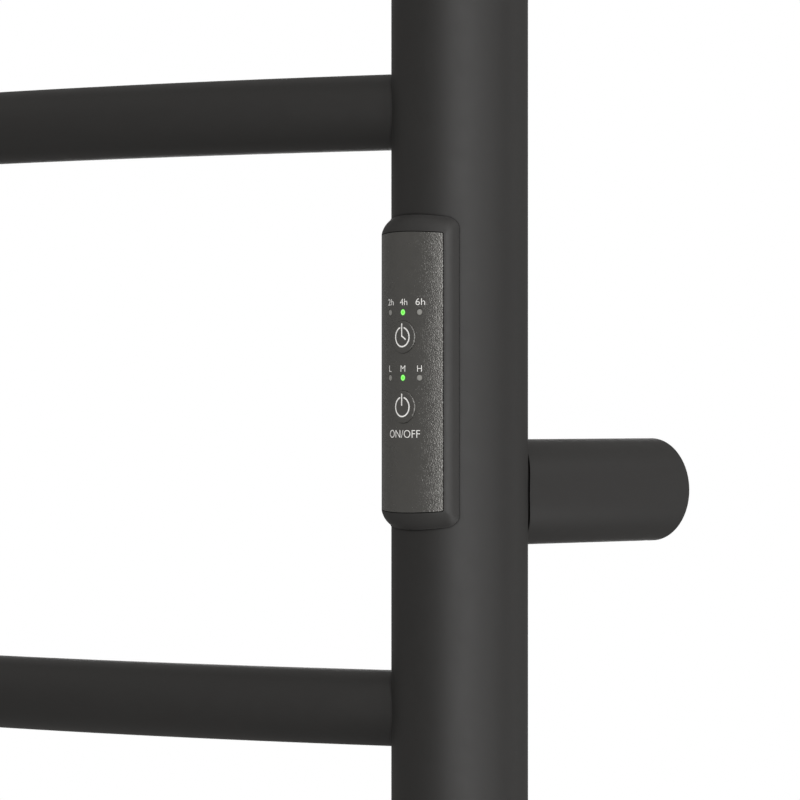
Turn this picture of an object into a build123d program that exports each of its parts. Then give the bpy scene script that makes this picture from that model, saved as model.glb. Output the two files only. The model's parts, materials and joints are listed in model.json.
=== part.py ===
"""Wall-hung towel warmer: two round posts, bowed bars, wall standoffs and a slim control on one post.

Frame: the wall is the plane Y = 0, the front of the rack faces -Y, X runs along the bars and Z is up.
The origin is the centre of the four wall screws. All lengths are in millimetres.
"""

from math import asin, atan2, cos, degrees, hypot, radians, sin, sqrt
import os

from build123d import *

# overall frame
overall_width = 500.0
overall_height = 1000.0
post_reach = 82.8  # wall to the posts' axes
post_diameter = 40.0
post_wall = 1.5
cap_thickness = 4.0
cap_edge_radius = 1.0
cap_spigot_length = 12.0
cap_spigot_wall = 2.5
slip = 0.1  # radial slip fit between parts that are pushed or screwed together

# towel bars, bowed towards the room
bar_diameter = 22.4
bar_wall = 1.2
bar_count = 6
bar_end_inset = 61.5  # from the end of a post to the first bar's axis
bar_bow = 46.8  # how far the middle of a bar stands in front of its ends
bar_cable_hole_radius = 7.0

# wall standoffs
standoff_end_inset = 125.0
standoff_diameter = 31.2
standoff_wall = 2.0
standoff_web = 7.5
standoff_edge_chamfer = 0.4
saddle_thickness = 0.5
saddle_recess = 1.0
insert_radius = 6.0
insert_length = 12.0
bolt_radius = 4.0
bolt_head_radius = 6.5
bolt_head_height = 8.0
bolt_socket_flats = 6.0
bolt_socket_depth = 4.0
disc_thickness = 8.0
wall_screw_hole_radius = 2.7
wall_screw_head_radius = 5.2
wall_screw_land = 4.0
grub_radius = 2.0
grub_length = 4.0
grub_socket_flats = 2.0
grub_socket_depth = 1.8
grub_sunk = 0.3

# control housing on the right post
pod_rise = 160.25  # its centre above the lower end of the post
pod_width = 28.7
pod_length = 91.4  # along its middle
pod_corner = 2.8
pod_stand = 3.16  # how far its face stands in front of the post
pod_end_rounding = 7.0
pod_edge_rounding = 3.0
pod_crown_radius = 75.0  # its ends are gently crowned where they meet the post
label_crown_radius = 140.0  # and a little flatter along the label
pod_skin = 1.5
end_start_turn = 1.0  # degrees of the end's arc where it leaves the face
end_overrun = 25.0  # degrees by which it runs on below the post's surface
end_rows = 9
label_margin = 1.69  # from the label's long edge to the housing's side
label_length = 81.15
label_corner = 0.45
label_thickness = 0.3
label_groove = 0.25
slot_width = 20.0
slot_length = 66.0
slot_corner = 3.0
gasket_width = 1.5
gasket_thickness = 0.6
pod_screw_rise = 36.5
pod_screw_radius = 1.5
pod_screw_head_radius = 2.8
pod_screw_length = 10.0

# keys, lenses and electronics inside the control
timer_key_rise = 10.15
power_key_rise = -10.05
key_radius = 4.75
key_raise = 0.38
key_flange_lip = 0.65
key_flange_thickness = 0.8
key_flange_gap = 0.15
key_stem_radius = 2.0
timer_row_rise = 17.3
heat_row_rise = -1.63
lens_radius = 0.95
lens_flange_radius = 1.2
lens_flange_thickness = 0.6
lens_clearance = 0.05
lens_step = 15.2  # degrees round the post from one lens to the next
board_sunk = 7.0  # from the front of the post back to the board
board_thickness = 1.6
board_width = 18.0
board_length = 64.0
led_height = 0.8
led_gap = 0.3
switch_side = 6.0
switch_height = 3.5
plunger_radius = 1.7
plunger_proud = 0.8
plunger_length = 1.7
plunger_well = 1.5
tray_rail = 3.0
tray_thickness = 1.5
tray_lip = 1.8
tray_boss = 10.0
relay_size = (10.0, 10.0, 15.5)
relay_rise = 12.0
capacitor_radius = 4.0
capacitor_length = 12.0
capacitor_rise = -8.0

# heating cable and wiring
cable_radius = 3.0
cable_bend = 12.0
cable_end_gap = 30.0
terminal_size = (12.0, 10.0, 20.0)
terminal_drop = 63.0  # below the control's centre
wire_radius = 0.75
cutout_radius = 2.5
cutout_length = 14.0
sensor_radius = 2.0
sensor_length = 8.0
sensor_turn = 26.0
earth_stud_rise = 40.0  # above the lower end of the post
earth_stud_radius = 2.0
earth_stud_length = 10.0
earth_nut_radius = 4.0
earth_nut_height = 3.2

# cord gland in the bottom right cap
gland_neck_radius = 6.0
gland_head_radius = 8.0
gland_head_height = 8.0
gland_bore_radius = 3.7
gland_neck_length = 10.0
gland_seal_thickness = 1.0
gland_nut_flats = 17.0
gland_nut_height = 5.0

# sizes that follow from the ones above
post_radius = post_diameter / 2
post_inner = post_radius - post_wall
post_x = overall_width / 2 - post_radius
bar_pitch = (overall_height - 2 * bar_end_inset) / (bar_count - 1)
tube_top = overall_height / 2 - cap_thickness
bar_radius = bar_diameter / 2
bow_radius = (post_x**2 + bar_bow**2) / (2 * bar_bow)
bow_centre_y = bow_radius - bar_bow - post_reach
bow_angle = degrees(asin(post_x / bow_radius))
standoff_radius = standoff_diameter / 2
standoff_inner = standoff_radius - standoff_wall
saddle_radius = post_radius + saddle_thickness
web_back = post_radius + saddle_thickness + standoff_web
standoff_rise = overall_height / 2 - standoff_end_inset
pod_height = pod_rise - overall_height / 2
terminal_top = pod_height - terminal_drop
earth_stud_height = earth_stud_rise - overall_height / 2
face_radius = post_radius + pod_stand
film_radius = face_radius - label_thickness
skin_radius = film_radius - pod_skin
label_width = pod_width - 2 * label_margin
board_front = post_radius - board_sunk  # in front of the post's axis
board_back = board_front - board_thickness
key_hole_radius = key_radius + slip
key_flange_radius = key_radius + key_flange_lip
switch_top = board_front + switch_height

SIDES = {"left": -1, "right": 1}
LEVELS = {"top": 1, "bottom": -1}


def save(shape, node):
    """Write one named piece."""
    export_step(shape, f"parts/{node}.step")


def bar_heights():
    """Heights of the bars' axes, lowest first."""
    lowest = -bar_pitch * (bar_count - 1) / 2
    return [lowest + bar_pitch * n for n in range(bar_count)]


def corners():
    """Name, side and level of each wall standoff."""
    return [(f"{level}_{side}", SIDES[side], LEVELS[level]) for level in LEVELS for side in SIDES]


def upright(radius, low, high):
    """Cylinder on the Z axis between two heights."""
    return Pos(0, 0, low) * Cylinder(radius, high - low, align=(Align.CENTER, Align.CENTER, Align.MIN))


def forward(radius, near, far, x=0.0, z=0.0):
    """Cylinder along Y between two distances in front of the post axis."""
    rod = Cylinder(radius, far - near, align=(Align.CENTER, Align.CENTER, Align.MIN))
    return Pos(x, -near, z) * Rot(90, 0, 0) * rod


def forward_cone(radius_near, radius_far, near, far, z=0.0):
    """Cone along Y between two distances in front of the post axis."""
    cone = Cone(radius_near, radius_far, far - near, align=(Align.CENTER, Align.CENTER, Align.MIN))
    return Pos(0, -near, z) * Rot(90, 0, 0) * cone


def forward_prism(width, length, corner, far=30.0):
    """Rounded rectangle seen from the front, run forward from the post axis."""
    return Rot(90, 0, 0) * extrude(RectangleRounded(width, length, corner), far)


def crowned_prism(width, length, corner, crown_radius, far=30.0):
    """Outline with crowned ends and rounded corners seen from the front, run forward from the post axis."""
    half, side = length / 2, width / 2
    low = half - crown_drop(side, crown_radius)
    outline = [
        ThreePointArc((-side, low), (0, half), (side, low)),
        Line((side, low), (side, -low)),
        ThreePointArc((side, -low), (0, -half), (-side, -low)),
        Line((-side, -low), (-side, low)),
    ]
    face = make_face(outline)
    return Rot(90, 0, 0) * extrude(fillet(face.vertices(), corner), far)


def crown_drop(x, crown_radius):
    """How far a crowned end falls back at a distance from its middle."""
    return crown_radius - sqrt(crown_radius**2 - x**2)


def block(x_low, x_high, near, far, z_low, z_high):
    """Box given by its limits, with near and far counted forward from the post axis."""
    box = Box(x_high - x_low, far - near, z_high - z_low)
    return Pos((x_low + x_high) / 2, -(near + far) / 2, (z_low + z_high) / 2) * box


def wire(points, radius):
    """Thin insulated wire through a list of points."""
    shape = None
    for start, end in zip(points, points[1:]):
        direction = Vector(*end) - Vector(*start)
        rod = Cylinder(radius, direction.length, align=(Align.CENTER, Align.CENTER, Align.MIN))
        piece = Plane(origin=start, z_dir=direction) * rod
        shape = piece if shape is None else shape + piece
    for corner in points[1:-1]:
        shape = shape + Pos(*corner) * Sphere(radius)
    return shape


def at_pod(shape):
    """Move a shape drawn about the post axis to the control's place on the right post."""
    return Pos(post_x, -post_reach, pod_height) * shape


def at_standoff(shape, side, level):
    """Move a shape drawn about the post axis to one wall standoff."""
    return Pos(side * post_x, -post_reach, level * standoff_rise) * shape


def post(side):
    """Post tube with its cable holes, standoff holes and, on the right, the control's slot."""
    tube = upright(post_radius, -tube_top, tube_top) - upright(post_inner, -tube_top, tube_top)
    turn = radians(bow_angle)
    inward = Vector(-side * cos(turn), -sin(turn), 0)
    for height in bar_heights():
        hole = Cylinder(bar_cable_hole_radius, post_diameter, align=(Align.CENTER, Align.CENTER, Align.MIN))
        tube = tube - Plane(origin=(0, 0, height), z_dir=inward) * hole
    for level in LEVELS.values():
        tube = tube - forward(insert_radius, -post_diameter, 0, z=level * standoff_rise)
    if side > 0:
        slot = forward_prism(slot_width, slot_length, slot_corner)
        tube = tube - Pos(0, 0, pod_height) * slot
        for end in (-1, 1):
            rise = pod_height + end * pod_screw_rise
            screw_hole = forward(pod_screw_radius + slip, 0, post_diameter, z=rise)
            tube = tube - screw_hole
    return Pos(side * post_x, -post_reach, 0) * tube


def bar(height):
    """Bowed towel bar, its ends coped to sit on the posts."""
    ring = Circle(bar_radius) - Circle(bar_radius - bar_wall)
    section = Pos(bow_radius, 0, 0) * Rot(90, 0, 0) * ring
    swept = revolve(section, Axis.Z, 2 * bow_angle)
    swept = Pos(0, bow_centre_y, height) * Rot(0, 0, -90 - bow_angle) * swept
    for side in SIDES.values():
        cope = upright(post_radius, height - post_diameter, height + post_diameter)
        swept = swept - Pos(side * post_x, -post_reach, 0) * cope
    return swept


def cap(side, level):
    """End cap: a disc with a rounded rim and a hollow spigot inside the post."""
    disc = upright(post_radius, 0, cap_thickness)
    rim = disc.edges().filter_by(GeomType.CIRCLE).sort_by(Axis.Z)[-1]
    disc = fillet(rim, cap_edge_radius)
    spigot = upright(post_inner - slip, -cap_spigot_length, 0)
    spigot = spigot - upright(post_inner - slip - cap_spigot_wall, -cap_spigot_length, 0)
    plug = disc + spigot
    if side > 0 and level < 0:
        plug = plug - upright(gland_neck_radius + slip, 0, cap_thickness)
    turn = 0 if level > 0 else 180
    return Pos(side * post_x, -post_reach, level * tube_top) * Rot(turn, 0, 0) * plug


def standoff(side, level):
    """Standoff sleeve: coped to the post in front, open on the wall side, with a bolted web."""
    sleeve = forward(standoff_radius, -post_reach, 0)
    rim = sleeve.edges().filter_by(GeomType.CIRCLE).sort_by(Axis.Y)[-1]
    sleeve = chamfer(rim, standoff_edge_chamfer)
    sleeve = sleeve - forward(standoff_inner, -post_reach, -web_back)
    sleeve = sleeve - upright(saddle_radius, -post_diameter, post_diameter)
    sleeve = sleeve - forward(bolt_radius + 2 * slip, -post_reach, 0)
    grub_hole = upright(grub_radius + slip, -standoff_radius - 1, -standoff_inner + 1)
    sleeve = sleeve - Pos(0, post_reach - disc_thickness / 2, 0) * grub_hole
    return at_standoff(sleeve, side, level)


def saddle(side, level):
    """Thin curved washer between the post and a standoff."""
    ring = forward(standoff_radius - saddle_recess, -post_reach, 0)
    ring = ring - forward(insert_radius + slip, -post_reach, 0)
    shell = upright(saddle_radius, -post_diameter, post_diameter)
    shell = shell - upright(post_radius, -post_diameter, post_diameter)
    return at_standoff(ring & shell, side, level)


def post_insert():
    """Threaded insert welded into the back of a post."""
    plug = forward(insert_radius, -post_diameter, -(post_radius - insert_length))
    plug = plug & upright(post_radius, -post_diameter, post_diameter)
    return plug - forward(bolt_radius + slip, -post_diameter, 0)


def standoff_bolt():
    """Socket-head bolt from inside the sleeve into the post's insert."""
    head = forward(bolt_head_radius, -web_back - bolt_head_height, -web_back)
    shank = forward(bolt_radius, -web_back, -(post_radius - insert_length))
    hexagon = extrude(RegularPolygon(bolt_socket_flats / 2, 6, major_radius=False), bolt_socket_depth)
    socket = Pos(0, web_back + bolt_head_height, 0) * Rot(90, 0, 0) * hexagon
    return head + shank - socket


def wall_disc(side, level):
    """Disc screwed to the wall, over which the standoff's sleeve is pushed."""
    disc = forward(standoff_inner - slip, -post_reach, -post_reach + disc_thickness)
    disc = disc - forward(wall_screw_hole_radius, -post_reach, -post_reach + disc_thickness)
    front = -post_reach + disc_thickness
    land = -post_reach + wall_screw_land
    disc = disc - forward_cone(wall_screw_hole_radius, wall_screw_head_radius, land, front)
    seat = upright(grub_radius + slip, -standoff_radius, grub_sunk + grub_length - standoff_radius + slip)
    disc = disc - Pos(0, post_reach - disc_thickness / 2, 0) * seat
    return at_standoff(disc, side, level)


def grub_screw():
    """Grub screw that holds a sleeve on its wall disc, fitted from below."""
    low = grub_sunk - standoff_radius
    screw = upright(grub_radius, low, low + grub_length)
    hexagon = RegularPolygon(grub_socket_flats / 2, 6, major_radius=False)
    socket = Pos(0, 0, low) * extrude(hexagon, grub_socket_depth)
    return Pos(0, post_reach - disc_thickness / 2, 0) * (screw - socket)


def standoff_group(shape):
    """One small part repeated at every standoff."""
    return Compound([at_standoff(shape, side, level).solid() for _, side, level in corners()])


def end_cutter():
    """Waste above the control's upper end: its underside is the rounded-off end, crowned more at its foot."""
    run = sqrt(pod_end_rounding**2 - (pod_end_rounding - pod_stand) ** 2)
    foot_turn = asin(run / pod_end_rounding)
    first_turn = radians(end_start_turn)
    last_turn = foot_turn + radians(end_overrun)
    reach = pod_width / 2 + 1
    rows = []
    for n in range(end_rows):
        turn = first_turn + (last_turn - first_turn) * n / (end_rows - 1)
        radius = face_radius - pod_end_rounding * (1 - cos(turn))
        rise = pod_length / 2 - run + pod_end_rounding * sin(turn)
        share = turn / foot_turn
        row = []
        for k in range(end_rows):
            x = reach * (2 * k / (end_rows - 1) - 1)
            drop = share * crown_drop(x, pod_crown_radius) + (1 - share) * crown_drop(x, label_crown_radius)
            row.append(Vector(x, -sqrt(radius**2 - x**2), rise - drop))
        rows.append(row)
    surface = Face.make_surface_from_array_of_points(rows)
    return extrude(surface, 20, dir=(0, -1, 2))


def pod_block():
    """The control's outer form: concentric with the post, with rounded-off and crowned ends."""
    form = upright(face_radius, -pod_length, pod_length) & block(
        -pod_width / 2, pod_width / 2, 0, 30, -pod_length, pod_length
    )
    edge_front = sqrt(post_radius**2 - (pod_width / 2) ** 2) + 1
    long_edges = []
    for edge in form.edges():
        middle = edge.center()
        at_side = abs(abs(middle.X) - pod_width / 2) < 0.1
        if at_side and middle.Y < -edge_front and edge.length > pod_length:
            long_edges.append(edge)
    form = fillet(long_edges, pod_edge_rounding)
    form = form & crowned_prism(pod_width, pod_length, pod_corner, pod_crown_radius)
    cutter = end_cutter()
    return form - cutter - mirror(cutter, about=Plane.XY)


def housing():
    """Housing skin with its label recess, key and lens holes, gasket groove and screw seats."""
    form = pod_block() - upright(post_radius, -pod_length, pod_length)
    recess_width = label_width + 2 * label_groove
    recess_length = label_length + 2 * label_groove
    recess_corner = label_corner + label_groove
    recess = crowned_prism(recess_width, recess_length, recess_corner, label_crown_radius)
    form = form - (recess - upright(film_radius, -pod_length, pod_length))
    bore = upright(skin_radius, -pod_length, pod_length)
    hollow = forward_prism(slot_width, slot_length, slot_corner) & bore
    form = form - hollow
    groove = gasket_ring(slip) & upright(post_radius + gasket_thickness + slip, -pod_length, pod_length)
    form = form - groove
    for rise in (timer_key_rise, power_key_rise):
        form = form - forward(key_hole_radius, 0, 30, z=rise)
    for _, x, rise in lens_places():
        form = form - forward(lens_radius + lens_clearance, 0, 30, x=x, z=rise)
    for end in (-1, 1):
        form = form - forward(pod_screw_radius + slip, 0, 30, z=end * pod_screw_rise)
        form = form - pod_screw_cone(end, slip)
    return at_pod(form)


def pod_screw_cone(end, extra):
    """Countersink of one housing screw, opened by a clearance."""
    depth = pod_screw_head_radius - pod_screw_radius
    near = pod_screw_radius + extra
    far = pod_screw_head_radius + extra
    return forward_cone(near, far, film_radius - depth, film_radius, end * pod_screw_rise)


def gasket_ring(extra):
    """Outline of the housing's seal, as a ring seen from the front."""
    inner = slot_width + 2 * slip
    inner_length = slot_length + 2 * slip
    wider = 2 * gasket_width + 2 * extra
    outer = forward_prism(inner + wider, inner_length + wider, slot_corner + gasket_width)
    return outer - forward_prism(inner, inner_length, slot_corner)


def gasket():
    """Seal between the housing and the post."""
    shell = upright(post_radius + gasket_thickness, -pod_length, pod_length)
    shell = shell - upright(post_radius, -pod_length, pod_length)
    return at_pod(gasket_ring(0) & shell)


def housing_screws():
    """Two countersunk screws hidden under the label."""
    screws = []
    for end in (-1, 1):
        tip = film_radius - pod_screw_length
        screw = forward(pod_screw_radius, tip, film_radius - 0.5, z=end * pod_screw_rise)
        screw = screw + pod_screw_cone(end, 0)
        screw = screw & upright(film_radius - slip, -pod_length, pod_length)
        screws.append(at_pod(screw).solid())
    return Compound(screws)


def lens_places():
    """Name, sideways place and height of each indicator lens."""
    places = []
    for turn, timer_name, heat_name in ((-1, "2h", "low"), (0, "4h", "medium"), (1, "6h", "high")):
        x = face_radius * sin(radians(turn * lens_step))
        places.append((timer_name, x, timer_row_rise))
        places.append((heat_name, x, heat_row_rise))
    return places


def label():
    """Curved label plate, open at the keys and lenses."""
    plate = crowned_prism(label_width, label_length, label_corner, label_crown_radius)
    shell = upright(face_radius, -pod_length, pod_length) - upright(film_radius, -pod_length, pod_length)
    plate = plate & shell
    for rise in (timer_key_rise, power_key_rise):
        plate = plate - forward(key_hole_radius, 0, 30, z=rise)
    for _, x, rise in lens_places():
        plate = plate - forward(lens_radius + lens_clearance, 0, 30, x=x, z=rise)
    return at_pod(plate)


def lens(x, rise):
    """Light pipe from an indicator light to the face."""
    start = board_front + led_height + led_gap
    rod = forward(lens_radius, start, 30, x=x, z=rise)
    back_of_skin = sqrt(skin_radius**2 - (abs(x) + lens_flange_radius) ** 2) - slip
    flange = forward(lens_flange_radius, back_of_skin - lens_flange_thickness, back_of_skin, x=x, z=rise)
    rod = rod & upright(face_radius, -pod_length, pod_length)
    return at_pod(rod + flange)


def key(rise):
    """Round key: curved top, flange behind the skin and a stem down to its switch."""
    flange_front = sqrt(skin_radius**2 - key_flange_radius**2) - key_flange_gap
    flange_back = flange_front - key_flange_thickness
    cap_rod = forward(key_radius, flange_front, 30, z=rise)
    cap_rod = cap_rod & upright(face_radius + key_raise, -pod_length, pod_length)
    flange = forward(key_flange_radius, flange_back, flange_front, z=rise)
    stem = forward(key_stem_radius, switch_top + plunger_proud, flange_back, z=rise)
    return at_pod(cap_rod + flange + stem)


def plunger(rise):
    """Moving plunger of a switch, pushed by its key."""
    top = switch_top + plunger_proud
    return at_pod(forward(plunger_radius, top - plunger_length, top, z=rise))


def switch(rise):
    """Body of a switch on the board."""
    half = switch_side / 2
    body = block(-half, half, board_front, switch_top, rise - half, rise + half)
    well = forward(plunger_radius + slip, switch_top - plunger_well, switch_top, z=rise)
    return at_pod(body - well)


def board():
    """Circuit board behind the keys."""
    half = board_width / 2
    plate = block(-half, half, board_back, board_front, -board_length / 2, board_length / 2)
    return at_pod(plate)


def leds():
    """The indicator lights on the board, one behind each lens."""
    chips = []
    for _, x, rise in lens_places():
        chip = block(x - 0.8, x + 0.8, board_front, board_front + led_height, rise - 0.5, rise + 0.5)
        chips.append(at_pod(chip).solid())
    return Compound(chips)


def relay():
    """Relay behind the board."""
    wide, deep, tall = relay_size
    low = relay_rise - tall / 2
    body = block(-wide / 2, wide / 2, board_back - deep, board_back, low, low + tall)
    return at_pod(body)


def capacitor():
    """Supply capacitor behind the board."""
    return at_pod(forward(capacitor_radius, board_back - capacitor_length, board_back, z=capacitor_rise))


def tray():
    """Frame inside the post that carries the board and takes the housing's screws."""
    outer = board_width / 2 + 2 * slip + tray_lip
    ledge_front = board_back
    ledge_back = board_back - tray_thickness
    end_low = board_length / 2 + 2 * slip
    end_high = pod_screw_rise + tray_boss / 2
    frame = None
    for side in (-1, 1):
        x_in = side * (outer - tray_rail)
        x_out = side * outer
        x_lip = side * (board_width / 2 + 2 * slip)
        rail = block(min(x_in, x_out), max(x_in, x_out), ledge_back, ledge_front, -end_high, end_high)
        lip = block(min(x_lip, x_out), max(x_lip, x_out), ledge_front, board_front + 1, -end_high, end_high)
        frame = rail + lip if frame is None else frame + rail + lip
    for end in (-1, 1):
        z_low, z_high = sorted((end * end_low, end * end_high))
        frame = frame + block(-outer, outer, ledge_back, ledge_front, z_low, z_high)
        boss = block(-tray_boss / 2, tray_boss / 2, ledge_front, 30, z_low, z_high)
        frame = frame + (boss & upright(post_inner - slip, -pod_length, pod_length))
        frame = frame - forward(pod_screw_radius + slip / 2, ledge_back, 30, z=end * pod_screw_rise)
    return at_pod(frame)


def cable_path():
    """Centre line of the heating cable: along every bar in turn, joined through the posts."""
    reach = hypot(bow_radius, cable_bend)
    turn = asin(post_x / reach) - atan2(cable_bend, bow_radius)
    end_x = bow_radius * sin(turn)
    end_y = bow_centre_y - bow_radius * cos(turn)
    riser_y = end_y + cable_bend * sin(turn)
    heights = bar_heights()

    def bend(side, height, up):
        """Quarter bend from a bar's end to the post's axis."""
        run = cable_bend * sin(radians(45))
        climb = cable_bend * (1 - cos(radians(45)))
        first = (side * end_x, end_y, height)
        middle = (side * (end_x + run * cos(turn)), end_y + run * sin(turn), height + up * climb)
        last = (side * post_x, riser_y, height + up * cable_bend)
        return ThreePointArc(first, middle, last)

    def along_bar(height, right_turn):
        """The cable's arc inside one bar."""
        left = (-end_x, end_y, height)
        middle = (0, bow_centre_y - bow_radius, height)
        right = (bow_radius * sin(right_turn), bow_centre_y - bow_radius * cos(right_turn), height)
        return ThreePointArc(left, middle, right)

    terminal_bottom = terminal_top - terminal_size[2]
    pieces = [Line((post_x, riser_y, terminal_bottom), (post_x, riser_y, heights[0] + cable_bend))]
    pieces.append(bend(1, heights[0], 1))
    for n, height in enumerate(heights):
        last = n == len(heights) - 1
        right_turn = asin((post_x - cable_end_gap) / bow_radius) if last else turn
        pieces.append(along_bar(height, right_turn))
        if last:
            break
        side = -1 if n % 2 == 0 else 1
        pieces.append(bend(side, height, 1))
        start = (side * post_x, riser_y, height + cable_bend)
        pieces.append(Line(start, (side * post_x, riser_y, heights[n + 1] - cable_bend)))
        pieces.append(bend(side, heights[n + 1], -1))
    return Wire(pieces), (post_x, riser_y, terminal_bottom)


def heating_cable():
    """Heating cable threaded through the whole frame."""
    path, start = cable_path()
    section = Plane(origin=start, z_dir=(0, 0, -1)) * Circle(cable_radius)
    return sweep(section, path=path)


def terminal_block():
    """Block that joins the supply, the cable and the board."""
    wide, deep, tall = terminal_size
    low = terminal_top - tall
    body = block(-wide / 2, wide / 2, -deep / 2, deep / 2, low, terminal_top)
    for side in (-1, 1):
        for rise in (low + tall / 4, low + 3 * tall / 4):
            body = body - forward(1.6, deep / 2 - 2.5, deep / 2, x=side * wide / 4, z=rise)
    return Pos(post_x, -post_reach, 0) * body


def wiring():
    """Wires from the terminal block, the cut-out and the sensor to the board."""
    terminal_rise = terminal_top - pod_height
    tap = board_length / 2 - 5
    lane = board_back - 3.4
    wires = []
    for x in (-3, 3):
        wires.append([(x, -3, terminal_rise), (x, -3, -tap), (x, -board_back, -tap)])
    for x in (-1.5, 1.5):
        wires.append([(x, -board_back, tap), (x, -lane, tap), (x, -lane, cutout_low())])
    sensor_x, sensor_front = sensor_place()
    bend_rise = sensor_low() + sensor_length / 2
    x = min(sensor_x, board_width / 2 - 2)
    away = Vector(x - sensor_x, sensor_front - lane).normalized() * sensor_radius
    sensor_wire = [(x, -board_back, tap), (x, -lane, tap), (x, -lane, bend_rise)]
    sensor_wire.append((sensor_x + away.X, away.Y - sensor_front, bend_rise))
    wires.append(sensor_wire)
    return Compound([at_pod(wire(points, wire_radius)).solid() for points in wires])


def cutout_low():
    """Height of the cut-out's lower end above the control's centre."""
    return pod_length / 2 + 5


def sensor_low():
    """Height of the sensor's lower end above the control's centre."""
    return pod_length / 2


def sensor_place():
    """Sideways and forward place of the sensor against the post's inner wall."""
    reach = post_inner - slip - sensor_radius
    return reach * sin(radians(sensor_turn)), reach * cos(radians(sensor_turn))


def thermal_cutout():
    """Safety cut-out hung above the board."""
    lane = board_back - 3.4
    body = Pos(0, -lane, 0) * upright(cutout_radius, cutout_low(), cutout_low() + cutout_length)
    return at_pod(body)


def temperature_sensor():
    """Sensor bead held against the inside of the post."""
    x, front = sensor_place()
    return at_pod(Pos(x, -front, 0) * upright(sensor_radius, sensor_low(), sensor_low() + sensor_length))


def earth_stud():
    """Earth stud and nut inside the right post."""
    tip = post_inner - earth_stud_length
    stud = Rot(0, 90, 0) * upright(earth_stud_radius, tip, post_radius)
    nut = Rot(0, 90, 0) * Pos(0, 0, tip + 2) * extrude(RegularPolygon(earth_nut_radius, 6), earth_nut_height)
    shape = (stud & upright(post_inner, -post_diameter, post_diameter)) + nut
    return Pos(post_x, -post_reach, earth_stud_height) * shape


def gland():
    """Cord gland: a domed head below the cap and a threaded neck through it."""
    head_top = -overall_height / 2 - gland_seal_thickness
    head = upright(gland_head_radius, head_top - gland_head_height, head_top)
    rim = head.edges().filter_by(GeomType.CIRCLE).sort_by(Axis.Z)[0]
    head = fillet(rim, 2.0)
    body = head + upright(gland_neck_radius, head_top, head_top + gland_neck_length + gland_seal_thickness)
    body = body - upright(gland_bore_radius, -overall_height, 0)
    return Pos(post_x, -post_reach, 0) * body


def gland_seal():
    """Rubber washer under the gland's head."""
    face = -overall_height / 2
    ring = upright(gland_head_radius, face - gland_seal_thickness, face)
    ring = ring - upright(gland_neck_radius + slip, face - gland_seal_thickness, face)
    return Pos(post_x, -post_reach, 0) * ring


def gland_nut():
    """Lock nut inside the cap."""
    nut = extrude(RegularPolygon(gland_nut_flats / 2, 6, major_radius=False), gland_nut_height)
    nut = nut - upright(gland_neck_radius + slip, 0, gland_nut_height)
    return Pos(post_x, -post_reach, -tube_top) * nut


def main():
    """Build and write every piece."""
    os.makedirs("parts", exist_ok=True)
    for name, side in SIDES.items():
        save(post(side), f"post_{name}")
    for n, height in enumerate(bar_heights(), 1):
        save(bar(height), f"bar_{n}")
    for name, side, level in corners():
        save(cap(side, level), f"cap_{name}")
        save(standoff(side, level), f"standoff_{name}")
        save(saddle(side, level), f"saddle_{name}")
        save(wall_disc(side, level), f"wall_disc_{name}")
    save(standoff_group(post_insert()), "post_inserts")
    save(standoff_group(standoff_bolt()), "standoff_bolts")
    save(standoff_group(grub_screw()), "grub_screws")
    save(housing(), "control_housing")
    save(gasket(), "housing_gasket")
    save(housing_screws(), "housing_screws")
    save(label(), "label_plate")
    for name, x, rise in lens_places():
        save(lens(x, rise), f"lens_{name}")
    for name, rise in (("timer", timer_key_rise), ("power", power_key_rise)):
        save(key(rise), f"{name}_button")
        save(plunger(rise), f"{name}_plunger")
        save(switch(rise), f"{name}_switch")
    save(board(), "control_board")
    save(leds(), "indicator_leds")
    save(relay(), "board_relay")
    save(capacitor(), "board_capacitor")
    save(tray(), "board_tray")
    save(heating_cable(), "heating_cable")
    save(terminal_block(), "terminal_block")
    save(wiring(), "wiring")
    save(thermal_cutout(), "thermal_cutout")
    save(temperature_sensor(), "temperature_sensor")
    save(earth_stud(), "earth_stud")
    save(gland(), "cord_gland")
    save(gland_seal(), "gland_seal")
    save(gland_nut(), "gland_nut")


if __name__ == "__main__":
    main()
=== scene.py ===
"""Looks of a wall-hung towel warmer: round posts, bowed bars, wall standoffs and a slim control."""

import json
import logging
import math
from collections.abc import Callable, Sequence
from dataclasses import dataclass, field, replace
from enum import Enum

import bmesh
import bpy
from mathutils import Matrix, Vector


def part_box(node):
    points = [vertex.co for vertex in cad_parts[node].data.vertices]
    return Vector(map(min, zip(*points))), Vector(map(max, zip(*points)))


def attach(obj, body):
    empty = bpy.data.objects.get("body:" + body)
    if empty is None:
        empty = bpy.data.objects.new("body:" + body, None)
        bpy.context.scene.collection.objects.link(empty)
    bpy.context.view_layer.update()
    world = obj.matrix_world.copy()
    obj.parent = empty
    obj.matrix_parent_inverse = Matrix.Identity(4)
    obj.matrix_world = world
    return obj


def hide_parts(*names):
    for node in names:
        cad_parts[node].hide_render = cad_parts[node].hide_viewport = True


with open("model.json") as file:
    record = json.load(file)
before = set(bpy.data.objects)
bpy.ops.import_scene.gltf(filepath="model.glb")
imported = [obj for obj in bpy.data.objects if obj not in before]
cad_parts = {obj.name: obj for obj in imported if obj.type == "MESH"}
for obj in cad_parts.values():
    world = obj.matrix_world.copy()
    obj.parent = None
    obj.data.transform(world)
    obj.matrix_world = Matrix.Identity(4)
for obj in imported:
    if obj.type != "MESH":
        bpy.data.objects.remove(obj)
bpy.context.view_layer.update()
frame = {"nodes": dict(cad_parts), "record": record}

LOG = logging.getLogger("towel_warmer")
MM = 0.001
FRAME_BODY = "frame"
FIRST_COLOUR, SECOND_COLOUR, MIXED_COLOUR = 6, 7, 2  # numbers of the Mix node's colour sockets
CRISP_ANGLE = 35.0  # angle above which an edge stays crisp, in degrees
LENS_CORE = (0.16, 0.3)  # where a lens's core starts and ends to fade out, as shares of its width
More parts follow.
